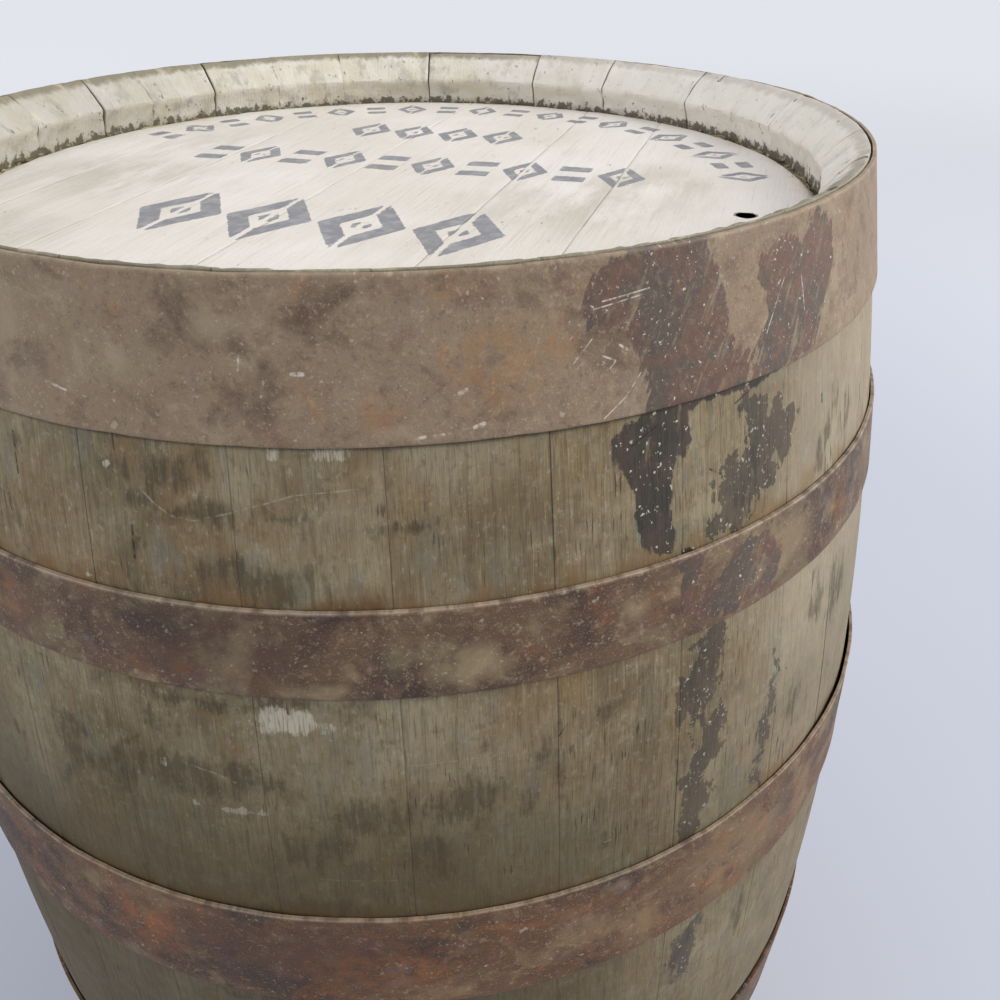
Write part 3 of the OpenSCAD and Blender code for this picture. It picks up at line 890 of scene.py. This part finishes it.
def hoop_shadow_and_stain_bands(s, deep, reach_above, reach_below):
    """Bands on the wood just below and just above each hoop, as two masks: the band below is painted shadow, the band
    above a stain.
    """
    below, above = None, None
    for start, width, _, upper in HOOPS.values():
        top = start if upper else HEIGHT - start - width
        under = s.math("MULTIPLY", s.band(deep, top + width - 1.5, top + width), s.band(deep, top + width + reach_below,
                                                                                     top + width + 0.6))
        over = s.math("MULTIPLY", s.band(deep, top - reach_above, top - 2.0), s.band(deep, top + 3.0, top + 1.0))
        below = under if below is None else s.math("MAXIMUM", below, under)
        above = over if above is None else s.math("MAXIMUM", above, over)
    return below, above


def tar_masks(s, where, streaky):
    """Solid and broken tar from the painted outlines, with torn edges."""
    wobble = s.math("MULTIPLY", s.math("SUBTRACT", s.noise(where, 160, 5, 0.72), 0.5), 7.0)
    sway = s.math("MULTIPLY", s.math("SUBTRACT", s.noise(where, 42, 3, 0.6), 0.5), 15.0)
    edge = s.math("ADD", s.attr("tar"), s.math("ADD", wobble, sway))
    drawn = s.math("MULTIPLY", s.math("SUBTRACT", streaky, 0.5), 14.0)
    solid = s.band(s.math("ADD", edge, drawn), 0.0, 1.2)
    solid = s.math("MULTIPLY", solid, s.band(s.attr("tar"), -9.0, -3.0))
    solid = s.math("MULTIPLY", solid, s.band(streaky, 0.30, 0.42, 0.25, 1.0))
    broken = s.math("MULTIPLY", s.math("SUBTRACT", s.noise(where, 85, 4, 0.65), 0.53), 60)
    loose = s.band(s.math("ADD", s.attr("patchy"), broken), 0.5, 2.0)
    return s.math("MAXIMUM", solid, s.math("MULTIPLY", loose, 0.8))


def oak_stave_material():
    s = Shader("weathered_oak_staves")
    arc, run, tone, sx, deep = s.attr("arc"), s.attr("run"), s.attr("tone"), s.attr("sx"), s.attr("deep")
    where = s.vec(sx, run, 0.31)
    point = s.vec(s.math("MULTIPLY", sx, 1000.0), deep, 0.0)
    fine = s.noise(s.stretched(arc, tone, run, 1, 1, 0.05), 1500, 3, 0.6)
    mid = s.noise(s.stretched(arc, tone, run, 1, 1, 0.07), 420, 3, 0.6)
    ticks = s.noise(s.stretched(arc, run, tone, 1, 0.07, 1), 900, 1, 0.4)
    cloud = s.noise(s.stretched(sx, run, 0.7, 1, 0.7, 1), 15, 5, 0.6, 0.3)
    patch = s.noise(s.stretched(sx, run, 2.7, 1, 0.8, 1), 48, 4, 0.62, 0.2)
    haze = s.noise(where, 170, 4, 0.65)
    colour = s.ramp(cloud, [(0.30, srgb(97, 83, 58)), (0.44, srgb(118, 103, 76)), (0.57, srgb(133, 119, 92)),
                            (0.72, srgb(152, 140, 114))])
    hue = s.noise(s.stretched(sx, run, 5.1, 1, 0.6, 1), 24, 3, 0.55)
    colour = s.mix(s.band(hue, 0.54, 0.70, 0.0, 0.40), colour, srgb(128, 102, 64))
    colour = s.mix(s.band(hue, 0.46, 0.32, 0.0, 0.45), colour, srgb(112, 112, 92))
    colour = s.mix(s.band(patch, 0.52, 0.70, 0.0, 0.35), colour, srgb(148, 138, 114))
    colour = s.mix(s.band(patch, 0.46, 0.30, 0.0, 0.45), colour, srgb(86, 76, 56))
    colour = s.mix(s.band(mid, 0.50, 0.32, 0.0, 0.34), colour, srgb(78, 69, 52))
    colour = s.mix(s.band(mid, 0.56, 0.72, 0.0, 0.25), colour, srgb(166, 154, 122))
    colour = s.mix(s.band(fine, 0.50, 0.34, 0.0, 0.38), colour, srgb(66, 56, 40))
    colour = s.mix(s.band(fine, 0.56, 0.72, 0.0, 0.20), colour, srgb(172, 162, 136))
    mottle = s.noise(s.vec(sx, run, 4.7), 110, 4, 0.7)
    colour = s.mix(s.band(mottle, 0.54, 0.70, 0.0, 0.34), colour, srgb(154, 144, 120))
    colour = s.mix(s.band(mottle, 0.46, 0.30, 0.0, 0.50), colour, srgb(84, 72, 54))
    amber = s.noise(s.stretched(sx, run, 11.3, 1, 0.55, 1), 52, 5, 0.68)
    colour = s.mix(s.band(amber, 0.54, 0.70, 0.0, 0.46), colour, srgb(116, 90, 52))
    smudge = s.noise(s.stretched(sx, run, 9.7, 1, 0.35, 1), 62, 4, 0.66)
    colour = s.mix(s.band(smudge, 0.55, 0.70, 0.0, 0.42), colour, srgb(112, 111, 103))
    flecks = s.noise(s.stretched(sx, run, 1.3, 1, 0.6, 1), 330, 3, 0.65)
    colour = s.mix(s.band(flecks, 0.58, 0.70, 0.0, 0.32), colour, srgb(168, 160, 142))
    colour = s.mix(s.band(flecks, 0.42, 0.30, 0.0, 0.32), colour, srgb(76, 66, 50))
    colour = s.mix(s.band(haze, 0.56, 0.74, 0.0, 0.25), colour, srgb(150, 144, 120))
    # lighter towards the right side and the top: partly lime dust, partly painted light from the right
    dust_and_light_right = s.math("MULTIPLY", s.band(sx, -0.33, -0.24), s.band(sx, 0.30, -0.20, 0.0, 1.0))
    dust_and_light_right = s.math("MULTIPLY", dust_and_light_right, s.band(deep, 420.0, 170.0, 0.12, 0.42))
    colour = s.mix(dust_and_light_right, colour, srgb(172, 161, 141))
    tick_zone = s.band(s.noise(s.vec(sx, run, 8.1), 26, 3), 0.48, 0.64)
    dashes = s.math("MULTIPLY", s.band(ticks, 0.63, 0.72), tick_zone)
    colour = s.mix(s.math("MULTIPLY", dashes, 0.75), colour, srgb(46, 40, 30))
    colour = s.mix(s.band(tone, -0.6, 0.7, 0.0, 0.10), colour, srgb(88, 74, 52))
    torn = s.noise(s.stretched(sx, run, 0.2, 1, 0.4, 1), 140, 4, 0.7)
    frayed = s.math("MULTIPLY", s.math("SUBTRACT", torn, 0.5), 3.4)
    frayed = s.math("ADD", frayed, s.math("MULTIPLY", s.math("SUBTRACT", mid, 0.5), 3.0))
    frayed = s.math("ADD", frayed, s.math("MULTIPLY", s.math("SUBTRACT", fine, 0.5), 1.6))
    dark = s.band(s.math("ADD", s.attr("dark"), frayed), 0.20, 1.35)
    dark = s.math("MULTIPLY", dark, s.band(s.attr("dark"), 0.0, 0.3))
    soot = s.mix(s.band(patch, 0.40, 0.60), srgb(50, 41, 32), srgb(62, 50, 34))
    colour = s.mix(s.math("MULTIPLY", dark, 0.66), colour, soot)
    below, above = hoop_shadow_and_stain_bands(s, deep, 16.0, 3.0)
    stain = s.math("MULTIPLY", above, s.band(s.noise(where, 32, 3), 0.42, 0.62, 0.0, 0.55))
    colour = s.mix(stain, colour, srgb(112, 82, 46))
    tar = tar_masks(s, s.stretched(sx, run, 0.4, 1, 0.6, 1), s.noise(s.stretched(sx, run, 1.9, 1, 0.25, 1), 120, 3, 0.6))
    pitch = s.mix(s.band(patch, 0.40, 0.60), srgb(40, 39, 35), srgb(62, 50, 44))
    scuffed = s.band(s.noise(s.stretched(sx, run, 2.2, 1, 0.35, 1), 90, 5, 0.7), 0.58, 0.70, 0.90, 0.25)
    colour = s.mix(s.math("MULTIPLY", tar, scuffed), colour, pitch)
    grains = s.noise(s.stretched(sx, run, 3.3, 1, 0.7, 1), 560, 2, 0.5)
    specks = s.math("MULTIPLY", s.band(grains, 0.63, 0.70), s.band(s.noise(where, 66, 3), 0.44, 0.60))
    flakes = s.band(s.noise(s.vec(sx, run, 6.1), 250, 3, 0.6), 0.63, 0.67)
    specks = s.math("MAXIMUM", specks, s.math("MULTIPLY", flakes, tar))
    speck_amount = s.math("ADD", s.math("MULTIPLY", tar, 0.62), 0.16)
    colour = s.mix(s.math("MULTIPLY", specks, speck_amount), colour, srgb(204, 198, 182))
    splash_edge = s.math("MULTIPLY", s.math("SUBTRACT", torn, 0.5), 3.2)
    splash = s.band(s.math("ADD", s.attr("pale"), splash_edge), 0.05, 0.45)
    splash = s.math("MULTIPLY", splash, s.band(s.attr("pale"), -0.6, 0.0))
    splash = s.math("MULTIPLY", splash, s.band(fine, 0.36, 0.54, 0.35, 1.0))
    colour = s.mix(s.math("MULTIPLY", splash, 0.68), colour, srgb(188, 182, 164))
    rubbed = s.band(s.noise(where, 210, 4, 0.7), 0.42, 0.60, 0.0, 0.45)
    colour = s.mix(s.math("MULTIPLY", s.lines(point, STAVE_SCRATCHES), rubbed), colour, srgb(168, 160, 140))
    rubbed = s.band(s.noise(where, 260, 4, 0.7), 0.38, 0.56, 0.1, 0.85)
    colour = s.mix(s.math("MULTIPLY", s.lines(point, STAVE_CUTS), rubbed), colour, srgb(40, 34, 26))
    around = s.math("ABSOLUTE", s.math("ADD", sx, 0.463))
    seam_share = s.math("MULTIPLY", s.band(s.attr("seam"), 0.55, 1.0), s.band(around, 0.30, 0.42, 0.32, 0.80))
    colour = s.mix(seam_share, colour, srgb(60, 51, 38))
    # darker towards the belly, most at the front and left, and painted shadow right under each hoop
    belly_darkening = s.math("MULTIPLY", s.band(deep, 170.0, 300.0, 0.0, 0.34), s.band(deep, 700.0, 560.0))
    belly_darkening = s.math("MULTIPLY", belly_darkening, s.band(sx, -0.30, -0.45, 0.7, 2.1))
    colour = s.mix(belly_darkening, colour, srgb(66, 54, 32))
    # painted shadow along the lower edge of each hoop
    colour = s.mix(s.math("MULTIPLY", below, 0.80), colour, srgb(36, 30, 24))
    # limewashed chime
    chip = s.noise(s.vec(arc, run, tone), 170, 5, 0.7)
    patches = s.noise(s.stretched(arc, run, tone, 1, 1.6, 1), 38, 4, 0.6)
    lime = s.mix(s.band(patches, 0.35, 0.65), srgb(218, 212, 202), srgb(208, 200, 181))
    grey_zone = s.noise(s.vec(arc, run, tone), 60, 4, 0.65)
    lime = s.mix(s.band(grey_zone, 0.50, 0.66, 0.0, 0.62), lime, srgb(164, 158, 144))
    lime = s.mix(s.math("MULTIPLY", s.attr("dirt"), 0.50), lime, srgb(136, 133, 126))
    rim_wear = s.math("ADD", deep, s.math("MULTIPLY", s.math("SUBTRACT", chip, 0.5), 7.0))
    lime = s.mix(s.band(rim_wear, 4.5, 1.2, 0.0, 0.85), lime, srgb(126, 118, 96))
    cream = s.noise(s.vec(arc, run, 3.9), 75, 3, 0.6)
    lime = s.mix(s.band(cream, 0.56, 0.70, 0.0, 0.40), lime, srgb(214, 200, 166))
    # painted light on the right part of the chime, which faces away from the lamp
    painted_light_chime = s.math("MULTIPLY", s.band(sx, -0.25, -0.05), s.band(sx, 0.42, 0.22))
    lime = s.mix(s.math("MULTIPLY", painted_light_chime, 0.5), lime, srgb(244, 238, 228))
    lime = s.mix(s.band(deep, 31.0, 36.5, 0.0, 0.62), lime, srgb(150, 145, 116))
    lime = s.mix(s.band(chip, 0.62, 0.68, 0.0, 0.80), lime, srgb(98, 89, 72))
    crumbs = s.math("ADD", s.noise(s.vec(sx, run, 2.0), 150, 4, 0.65), s.band(deep, 26.0, 37.0, 0.0, 0.28))
    crumbs = s.band(crumbs, 0.66, 0.76)
    lime = s.mix(s.math("MULTIPLY", crumbs, 0.8), lime, srgb(66, 58, 44))
    lime = s.mix(s.math("MULTIPLY", s.band(s.attr("seam"), 0.35, 1.0), 0.55), lime, srgb(90, 82, 66))
    painted = s.math("MULTIPLY", s.attr("chime"), 0.97)
    colour = s.mix(painted, colour, lime)
    raw_inside = s.math("MULTIPLY", s.attr("inside"), s.band(deep, 40.0, 46.0))
    colour = s.mix(s.math("MULTIPLY", raw_inside, 0.8), colour, srgb(70, 48, 34))
    rough = s.math("SUBTRACT", s.band(patch, 0.3, 0.7, 0.60, 0.76), s.math("MULTIPLY", tar, 0.20))
    height = s.math("ADD", s.math("MULTIPLY", fine, 0.5), s.math("MULTIPLY", mid, 0.8))
    height = s.math("SUBTRACT", height, s.math("MULTIPLY", dashes, 0.5))
    height = s.math("ADD", height, s.math("MULTIPLY", tar, 0.35))
    height = s.math("ADD", height, s.math("MULTIPLY", s.math("MULTIPLY", chip, painted), 2.2))
    return s.finish(colour, rough, s.bump(height, 0.0006, 0.7), 0.25)


def hoop_material(name, base, dark, tan, rust, dark_share, rust_share, edge_wear_and_highlight):
    s = Shader(name)
    run, sx, deep = s.attr("run"), s.attr("sx"), s.attr("deep")
    where = s.vec(sx, run, 0.37)
    point = s.vec(s.math("MULTIPLY", sx, 1000.0), deep, 0.0)
    cloud = s.noise(s.stretched(sx, run, 0.2, 1, 1.2, 1), 17, 5, 0.62, 0.4)
    patch = s.noise(where, 55, 4, 0.62, 0.3)
    blotch = s.noise(s.vec(sx, run, 6.6), 120, 4, 0.62)
    fine = s.noise(where, 380, 4, 0.65)
    grit = s.noise(where, 1100, 2, 0.6)
    low = 0.30 + 0.12 * dark_share
    colour = s.ramp(cloud, [(low, dark), (low + 0.10, base), (0.56, base), (0.74, tan)])
    colour = s.mix(s.band(patch, 0.53, 0.72, 0.0, 0.50), colour, tan)
    colour = s.mix(s.band(patch, 0.46, 0.30, 0.0, 0.55), colour, dark)
    colour = s.mix(s.band(blotch, 0.56, 0.72, 0.0, 0.40), colour, tan)
    colour = s.mix(s.band(blotch, 0.44, 0.30, 0.0, 0.40), colour, dark)
    rusty = s.noise(s.vec(sx, run, 3.1), 30, 5, 0.68, 0.6)
    colour = s.mix(s.band(rusty, 0.60 - 0.12 * rust_share, 0.80 - 0.12 * rust_share, 0.0, 0.62), colour, rust)
    violet = s.noise(s.vec(sx, run, 5.3), 36, 3, 0.6)
    colour = s.mix(s.band(violet, 0.60, 0.76, 0.0, 0.35), colour, srgb(126, 114, 110))
    maroon = s.noise(s.vec(sx, run, 8.8), 44, 4, 0.65)
    colour = s.mix(s.band(maroon, 0.54, 0.70, 0.0, 0.42), colour, srgb(104, 74, 62))
    olive = s.noise(s.vec(sx, run, 7.9), 26, 3, 0.6)
    colour = s.mix(s.band(olive, 0.58, 0.74, 0.0, 0.42), colour, srgb(140, 132, 96))
    colour = s.mix(s.band(fine, 0.55, 0.72, 0.0, 0.36), colour, srgb(176, 160, 134))
    colour = s.mix(s.band(fine, 0.46, 0.30, 0.0, 0.40), colour, srgb(78, 62, 50))
    colour = s.mix(s.band(grit, 0.56, 0.70, 0.0, 0.25), colour, srgb(170, 158, 138))
    lime_spots = s.band(s.noise(s.vec(sx, run, 9.3), 140, 3, 0.55), 0.67, 0.73)
    colour = s.mix(s.math("MULTIPLY", lime_spots, 0.45), colour, srgb(178, 168, 146))
    worn = s.math("MULTIPLY", s.attr("worn"), s.band(patch, 0.30, 0.52))
    colour = s.mix(s.math("MULTIPLY", worn, 0.55), colour, tan)
    spotty = s.math("MULTIPLY", s.attr("rusted"), s.band(blotch, 0.36, 0.60))
    colour = s.mix(s.math("MULTIPLY", spotty, 0.48), colour, rust)
    soot = s.math("MULTIPLY", s.attr("dark"), s.band(patch, 0.26, 0.5))
    colour = s.mix(s.math("MULTIPLY", soot, 0.50), colour, srgb(62, 44, 36))
    lean = s.math("SUBTRACT", sx, s.math("MULTIPLY", run, 0.55))
    streaky = s.noise(s.stretched(lean, run, 0.9, 1, 0.16, 1), 210, 4, 0.62)
    tar = tar_masks(s, where, streaky)
    pitch = s.mix(s.band(patch, 0.42, 0.58), srgb(94, 67, 57), srgb(70, 62, 56))
    pitch = s.mix(s.band(blotch, 0.50, 0.66, 0.0, 0.6), pitch, srgb(62, 54, 48))
    pitch = s.mix(s.band(fine, 0.52, 0.68, 0.0, 0.45), pitch, srgb(128, 106, 92))
    scuffed = s.band(s.noise(s.stretched(lean, run, 2.2, 1, 0.22, 1), 130, 5, 0.72), 0.54, 0.68, 0.84, 0.22)
    colour = s.mix(s.math("MULTIPLY", tar, scuffed), colour, pitch)
    grains = s.noise(s.vec(sx, run, 4.4), 520, 2, 0.5)
    specks = s.math("MULTIPLY", s.band(grains, 0.64, 0.71), s.band(s.noise(where, 60, 3), 0.44, 0.60))
    flakes = s.band(s.noise(s.vec(sx, run, 6.1), 260, 3, 0.6), 0.66, 0.70)
    specks = s.math("MAXIMUM", specks, s.math("MULTIPLY", flakes, tar))
    speck_amount = s.math("ADD", 0.30, s.math("MULTIPLY", tar, 0.35))
    colour = s.mix(s.math("MULTIPLY", specks, speck_amount), colour, srgb(208, 202, 190))
    rubbed = s.band(s.noise(where, 240, 4, 0.7), 0.40, 0.58, 0.05, 0.75)
    colour = s.mix(s.math("MULTIPLY", s.lines(point, HOOP_SCRATCHES), rubbed), colour, srgb(206, 198, 184))
    # the top edge of each hoop: worn pale, with a painted highlight where the edge catches light
    colour = s.mix(s.math("MULTIPLY", s.attr("top_edge"), s.band(blotch, 0.35, 0.6, 0.3 * edge_wear_and_highlight, edge_wear_and_highlight)),
                   colour, srgb(190, 172, 148))
    colour = s.mix(s.math("MULTIPLY", s.attr("end"), 0.5), colour, srgb(70, 54, 44))
    rough = s.math("SUBTRACT", s.band(fine, 0.3, 0.7, 0.50, 0.68), s.math("MULTIPLY", tar, 0.08))
    height = s.math("ADD", s.math("MULTIPLY", fine, 0.7), s.math("MULTIPLY", grit, 0.25))
    height = s.math("ADD", height, s.math("MULTIPLY", tar, 0.35))
    return s.finish(colour, rough, s.bump(height, 0.0005, 0.7), 0.32, 0.05)


def head_material(painted):
    s = Shader("painted_head_boards" if painted else "bare_head_boards")
    along, cross, tone = s.attr("along"), s.attr("cross"), s.attr("tone")
    grain = s.noise(s.stretched(along, cross, tone, 0.05, 1, 1), 420, 4, 0.6)
    broad = s.noise(s.stretched(along, cross, tone, 0.3, 1, 1), 30, 4, 0.6, 0.4)
    x, y = s.attr("flatx"), s.attr("flaty")
    flat = s.vec(x, y, 0.5)
    if painted:
        colour = s.mix(s.band(s.noise(flat, 7, 3, 0.55), 0.35, 0.7), srgb(224, 217, 209), srgb(212, 203, 190))
        colour = s.mix(s.band(s.noise(s.stretched(along, cross, tone, 0.35, 1, 1), 16, 4, 0.6), 0.52, 0.74, 0.0, 0.5),
                       colour, srgb(198, 188, 172))
        colour = s.mix(s.band(grain, 0.56, 0.72, 0.0, 0.25), colour, srgb(196, 188, 172))
        smear = s.noise(s.stretched(along, cross, tone, 0.35, 1, 1), 34, 5, 0.65)
        colour = s.mix(s.band(smear, 0.56, 0.74, 0.0, 0.30), colour, srgb(190, 182, 168))
        hair = s.noise(s.stretched(along, cross, tone, 0.03, 1, 1), 700, 2, 0.5)
        colour = s.mix(s.band(hair, 0.60, 0.72, 0.0, 0.30), colour, srgb(176, 166, 150))
        # broad grimy patches
        for cx, cy, size, strength in ((-0.165, 0.030, 0.085, 0.62), (-0.120, 0.115, 0.060, 0.45), (0.105, -0.070, 0.095, 0.66),
                                         (0.160, -0.030, 0.050, 0.40), (-0.200, -0.080, 0.060, 0.35)):
            dx = s.math("SUBTRACT", x, cx)
            dy = s.math("SUBTRACT", y, cy)
            dist = s.math("SQRT", s.math("ADD", s.math("MULTIPLY", dx, dx), s.math("MULTIPLY", dy, dy)))
            near = s.band(dist, size, size * 0.2, 0.0, strength)
            near = s.math("MULTIPLY", near, s.band(smear, 0.36, 0.62))
            colour = s.mix(near, colour, srgb(176, 167, 148))
        rim = s.band(s.math("ADD", s.attr("reach"), s.math("MULTIPLY", s.noise(flat, 40, 4), 0.03)), 0.247, 0.264)
        colour = s.mix(s.math("MULTIPLY", rim, 0.45), colour, srgb(178, 168, 148))
        wear = s.noise(s.stretched(along, cross, tone, 0.4, 1, 1), 170, 5, 0.7)
        chips = s.math("MULTIPLY", s.band(wear, 0.66, 0.72), s.band(s.noise(flat, 18, 3), 0.45, 0.62))
        colour = s.mix(s.math("MULTIPLY", chips, 0.7), colour, srgb(148, 138, 120))
        flecks = s.noise(s.stretched(along, cross, tone, 0.5, 1, 1), 260, 3, 0.6)
        nicks = s.math("MULTIPLY", s.band(flecks, 0.66, 0.71), s.band(s.noise(flat, 14, 3), 0.50, 0.64))
        colour = s.mix(s.math("MULTIPLY", nicks, 0.65), colour, srgb(112, 100, 92))
        dots = s.band(s.noise(flat, 520, 1, 0.4), 0.74, 0.80)
        colour = s.mix(s.math("MULTIPLY", dots, 0.45), colour, srgb(128, 112, 96))
        stencil_noise = s.math("MULTIPLY", s.math("SUBTRACT", s.noise(flat, 300, 3, 0.6), 0.5), 2.2)
        stencil = s.band(s.math("ADD", s.attr("mark"), stencil_noise), -0.15, 0.45)
        thin = s.band(s.noise(flat, 90, 4, 0.65), 0.30, 0.60, 0.70, 0.93)
        colour = s.mix(s.math("MULTIPLY", stencil, thin), colour, srgb(118, 119, 124))
        crack = s.attr("crack")
        open_joint = s.band(s.math("ADD", crack, s.math("MULTIPLY", s.noise(flat, 60, 3), 0.5)), 0.72, 1.15)
        colour = s.mix(s.math("MULTIPLY", open_joint, 0.40), colour, srgb(140, 132, 122))
        # painted shade on the lip of the spile hole
        ring = s.band(s.attr("spile"), 6.0, 5.0)
        colour = s.mix(s.math("MULTIPLY", ring, 0.7), colour, srgb(110, 98, 84))
        rough = s.band(s.noise(flat, 60, 3), 0.3, 0.7, 0.5, 0.66)
        height = s.math("ADD", s.math("MULTIPLY", grain, 0.5), s.math("MULTIPLY", chips, -0.6))
        height = s.math("ADD", height, s.math("MULTIPLY", smear, 1.2))
        normal = s.bump(height, 0.0009, 0.8)
        return s.finish(colour, rough, normal, 0.4)
    colour = s.ramp(broad, [(0.3, srgb(92, 80, 60)), (0.5, srgb(126, 112, 86)), (0.7, srgb(152, 138, 110))])
    colour = s.mix(s.band(grain, 0.5, 0.34, 0.0, 0.55), colour, srgb(74, 62, 46))
    colour = s.mix(s.band(s.attr("crack"), 0.4, 1.0, 0.0, 0.8), colour, srgb(50, 42, 32))
    return s.finish(colour, 0.72, s.bump(grain, 0.0007, 0.8), 0.35)


def plain_wood(name, light, dark_colour, scale=220):
    s = Shader(name)
    node = s.tree.nodes.new("ShaderNodeTexCoord")
    grain = s.noise(node.outputs["Object"], scale, 5, 0.65, 0.8)
    colour = s.mix(s.band(grain, 0.35, 0.65), light, dark_colour)
    return s.finish(colour, 0.7, s.bump(grain, 0.0005, 0.7), 0.35)


def leaf_material():
    s = Shader("dried_flag")
    shade = s.attr("shade")
    colour = s.ramp(shade, [(0.0, srgb(58, 50, 34)), (0.5, srgb(112, 98, 66)), (1.0, srgb(176, 164, 126))])
    node = s.tree.nodes.new("ShaderNodeTexCoord")
    fibre = s.noise(node.outputs["Object"], 700, 3, 0.6)
    return s.finish(colour, 0.8, s.bump(fibre, 0.0003, 0.6), 0.3)


def rivet_material():
    s = Shader("forged_rivets")
    node = s.tree.nodes.new("ShaderNodeTexCoord")
    cloud = s.noise(node.outputs["Object"], 180, 5, 0.65)
    colour = s.ramp(cloud, [(0.3, srgb(70, 56, 46)), (0.5, srgb(112, 92, 74)), (0.7, srgb(150, 118, 84))])
    return s.finish(colour, 0.55, s.bump(cloud, 0.0006, 0.7), 0.45, 0.15)


# ---------------------------------------------------------------- build
def build_staves():
    oak = oak_stave_material()
    for number in range(1, len(STAVE_WIDTHS) + 1):
        obj, name = stave(number)
        if number == BUNG_STAVE:
            cut_bung_hole(obj, oak)
        finish_piece(obj, oak, "weathered_oak", "cask", name)


def build_hoops():
    head = hoop_material("head_hoop_steel", srgb(131, 112, 90), srgb(96, 78, 64), srgb(153, 137, 112),
                         srgb(146, 104, 64), 0.2, 0.4, 0.2)
    quarter = hoop_material("quarter_hoop_steel", srgb(93, 71, 53), srgb(64, 47, 38), srgb(146, 128, 98),
                            srgb(134, 84, 46), 0.8, 0.3, 0.5)
    bilge = hoop_material("bilge_hoop_steel", srgb(90, 62, 39), srgb(61, 42, 29), srgb(132, 108, 76),
                          srgb(140, 82, 38), 0.8, 0.7, 0.45)
    for name, (start, width, lap, upper) in HOOPS.items():
        steel = head if "head" in name else quarter if "quarter" in name else bilge
        finish_piece(hoop(name, start, width, lap, upper), steel, "hoop_steel", "cask", name)
    finish_piece(rivets(), rivet_material(), "rivet_steel", "cask", "hoop_rivets")


def build_heads():
    painted, bare = head_material(True), head_material(False)
    for end, pitch, paint, slot in (("top", 2.6, painted, "painted_head"), ("bottom", 5.5, bare, "bare_head_oak")):
        for number in range(1, 7):
            obj, name = head_board(end, number, pitch)
            if name == "top_head_board_1":
                cut_spile_hole(obj, paint)
            finish_piece(obj, paint, slot, "cask", name)
    leaves = leaf_material()
    for end in ("top", "bottom"):
        finish_piece(flag_leaves(end), leaves, "flag_seal", "cask", f"{end}_head_flag")


def build_small_parts():
    dowel = plain_wood("dowel_beech", srgb(190, 164, 122), srgb(160, 130, 92))
    for name in ("top_head_dowels", "bottom_head_dowels"):
        NODES[name].data.materials.clear()
        NODES[name].data.materials.append(dowel)
    dark_peg = plain_wood("soaked_spile", srgb(74, 60, 46), srgb(44, 34, 26), 500)
    NODES["head_spile"].data.materials.clear()
    NODES["head_spile"].data.materials.append(dark_peg)

    def hammered(r, h, ang):
        bite = 0.35 * noise(np.cos(ang) * r / 7, np.sin(ang) * r / 7, h / 9, 61)
        return r, h + np.where(h > 30, bite - 0.2, 0)

    profile = [(0, 0), (10, 0), (20, 0), (22.6, 0), (23.2, 0.8), (23.9, 15), (24.6, 30), (24.85, 35), (24.5, 35.8),
               (23.6, 36.2), (18, 36.3), (12, 36.2), (6, 36.3), (0, 36.2)]
    bung = lathe("bung_turned", profile, 72, {}, hammered)
    place_on_bung_axis(bung)
    finish_piece(bung, plain_wood("bung_poplar", srgb(168, 140, 98), srgb(118, 92, 60), 140), "bung_wood", "bung", "bung")


def build_stage():
    """A plain round floor, a little darker near the cask so that its far edge melts into the room; the darker part is
    painted shade against the lamps' pool of light.
    """
    radii = np.concatenate([[0.001], np.geomspace(0.3, 90, 60)])
    ang = np.linspace(0, 2 * math.pi, 96, endpoint=False)
    pts = np.stack([radii[:, None] * np.cos(ang), radii[:, None] * np.sin(ang), np.zeros((len(radii), len(ang)))], -1)
    quads = tube_quads(len(radii), len(ang), capped=False)
    reach = np.broadcast_to(radii[:, None], pts.shape[:2])
    floor = mesh_object("floor", pts.reshape(-1, 3) / MM, quads, {"reach": reach})
    s = Shader("pale_floor")
    far = s.math("LOGARITHM", s.attr("reach"), math.e)
    # painted shade near the cask, fading out with distance
    shade = s.mix(s.band(far, 0.2, 2.1), srgb(189, 192, 202), srgb(252, 252, 253))
    grain = s.noise(s.vec(s.attr("reach"), 0.0, 0.0), 5)
    floor.data.materials.append(s.finish(shade, 0.9, s.bump(grain, 0.00005, 0.05), 0.05))


def area_light(name, at, aim, size, power, colour):
    data = bpy.data.lights.new(name, "AREA")
    data.shape = "DISK"
    data.size = size
    data.energy = power
    data.color = colour
    data.spread = math.radians(90)
    obj = bpy.data.objects.new(name, data)
    direction = np.array(at) - np.array(aim)
    flat = math.hypot(direction[0], direction[1])
    obj.location = at
    obj.rotation_euler = Euler((math.atan2(flat, direction[2]), 0, math.atan2(direction[0], -direction[1])), "XYZ")
    bpy.context.scene.collection.objects.link(obj)


def build_light():
    scene = bpy.context.scene
    scene.view_settings.view_transform = "Standard"
    world = bpy.data.worlds.new("soft_room")
    world.use_nodes = True
    background = world.node_tree.nodes["Background"]
    background.inputs["Color"].default_value = (0.80, 0.82, 0.87, 1)
    background.inputs["Strength"].default_value = 0.98
    scene.world = world
    area_light("window_right", (4.45, -0.75, 3.0), (0.1, 0, 0.6), 3.6, 61, (1.0, 0.98, 0.95))
    area_light("window_left", (-3.55, -0.9, 2.4), (-0.1, 0, 0.6), 2.7, 8.0, (0.95, 0.97, 1.0))


def build_camera():
    data = bpy.data.cameras.new("camera")
    data.lens = 33.84
    data.sensor_width = 36.0
    data.clip_start = 0.01
    data.clip_end = 60
    cam = bpy.data.objects.new("camera", data)
    cam.location = (0.0, -0.5871, 1.0126)
    yaw, pitch, roll = math.radians(6.30), math.radians(32.79), math.radians(-0.22)
    cam.rotation_mode = "XYZ"
    base = Euler((math.pi / 2 - pitch, 0, -yaw), "XYZ").to_matrix()
    spin = Euler((0, 0, roll), "XYZ").to_matrix()
    cam.rotation_euler = (base @ spin).to_euler("XYZ")
    bpy.context.scene.collection.objects.link(cam)
    bpy.context.scene.camera = cam


build_camera()
build_light()
build_stage()
build_staves()
build_hoops()
build_heads()
build_small_parts()

bpy.context.view_layer.update()
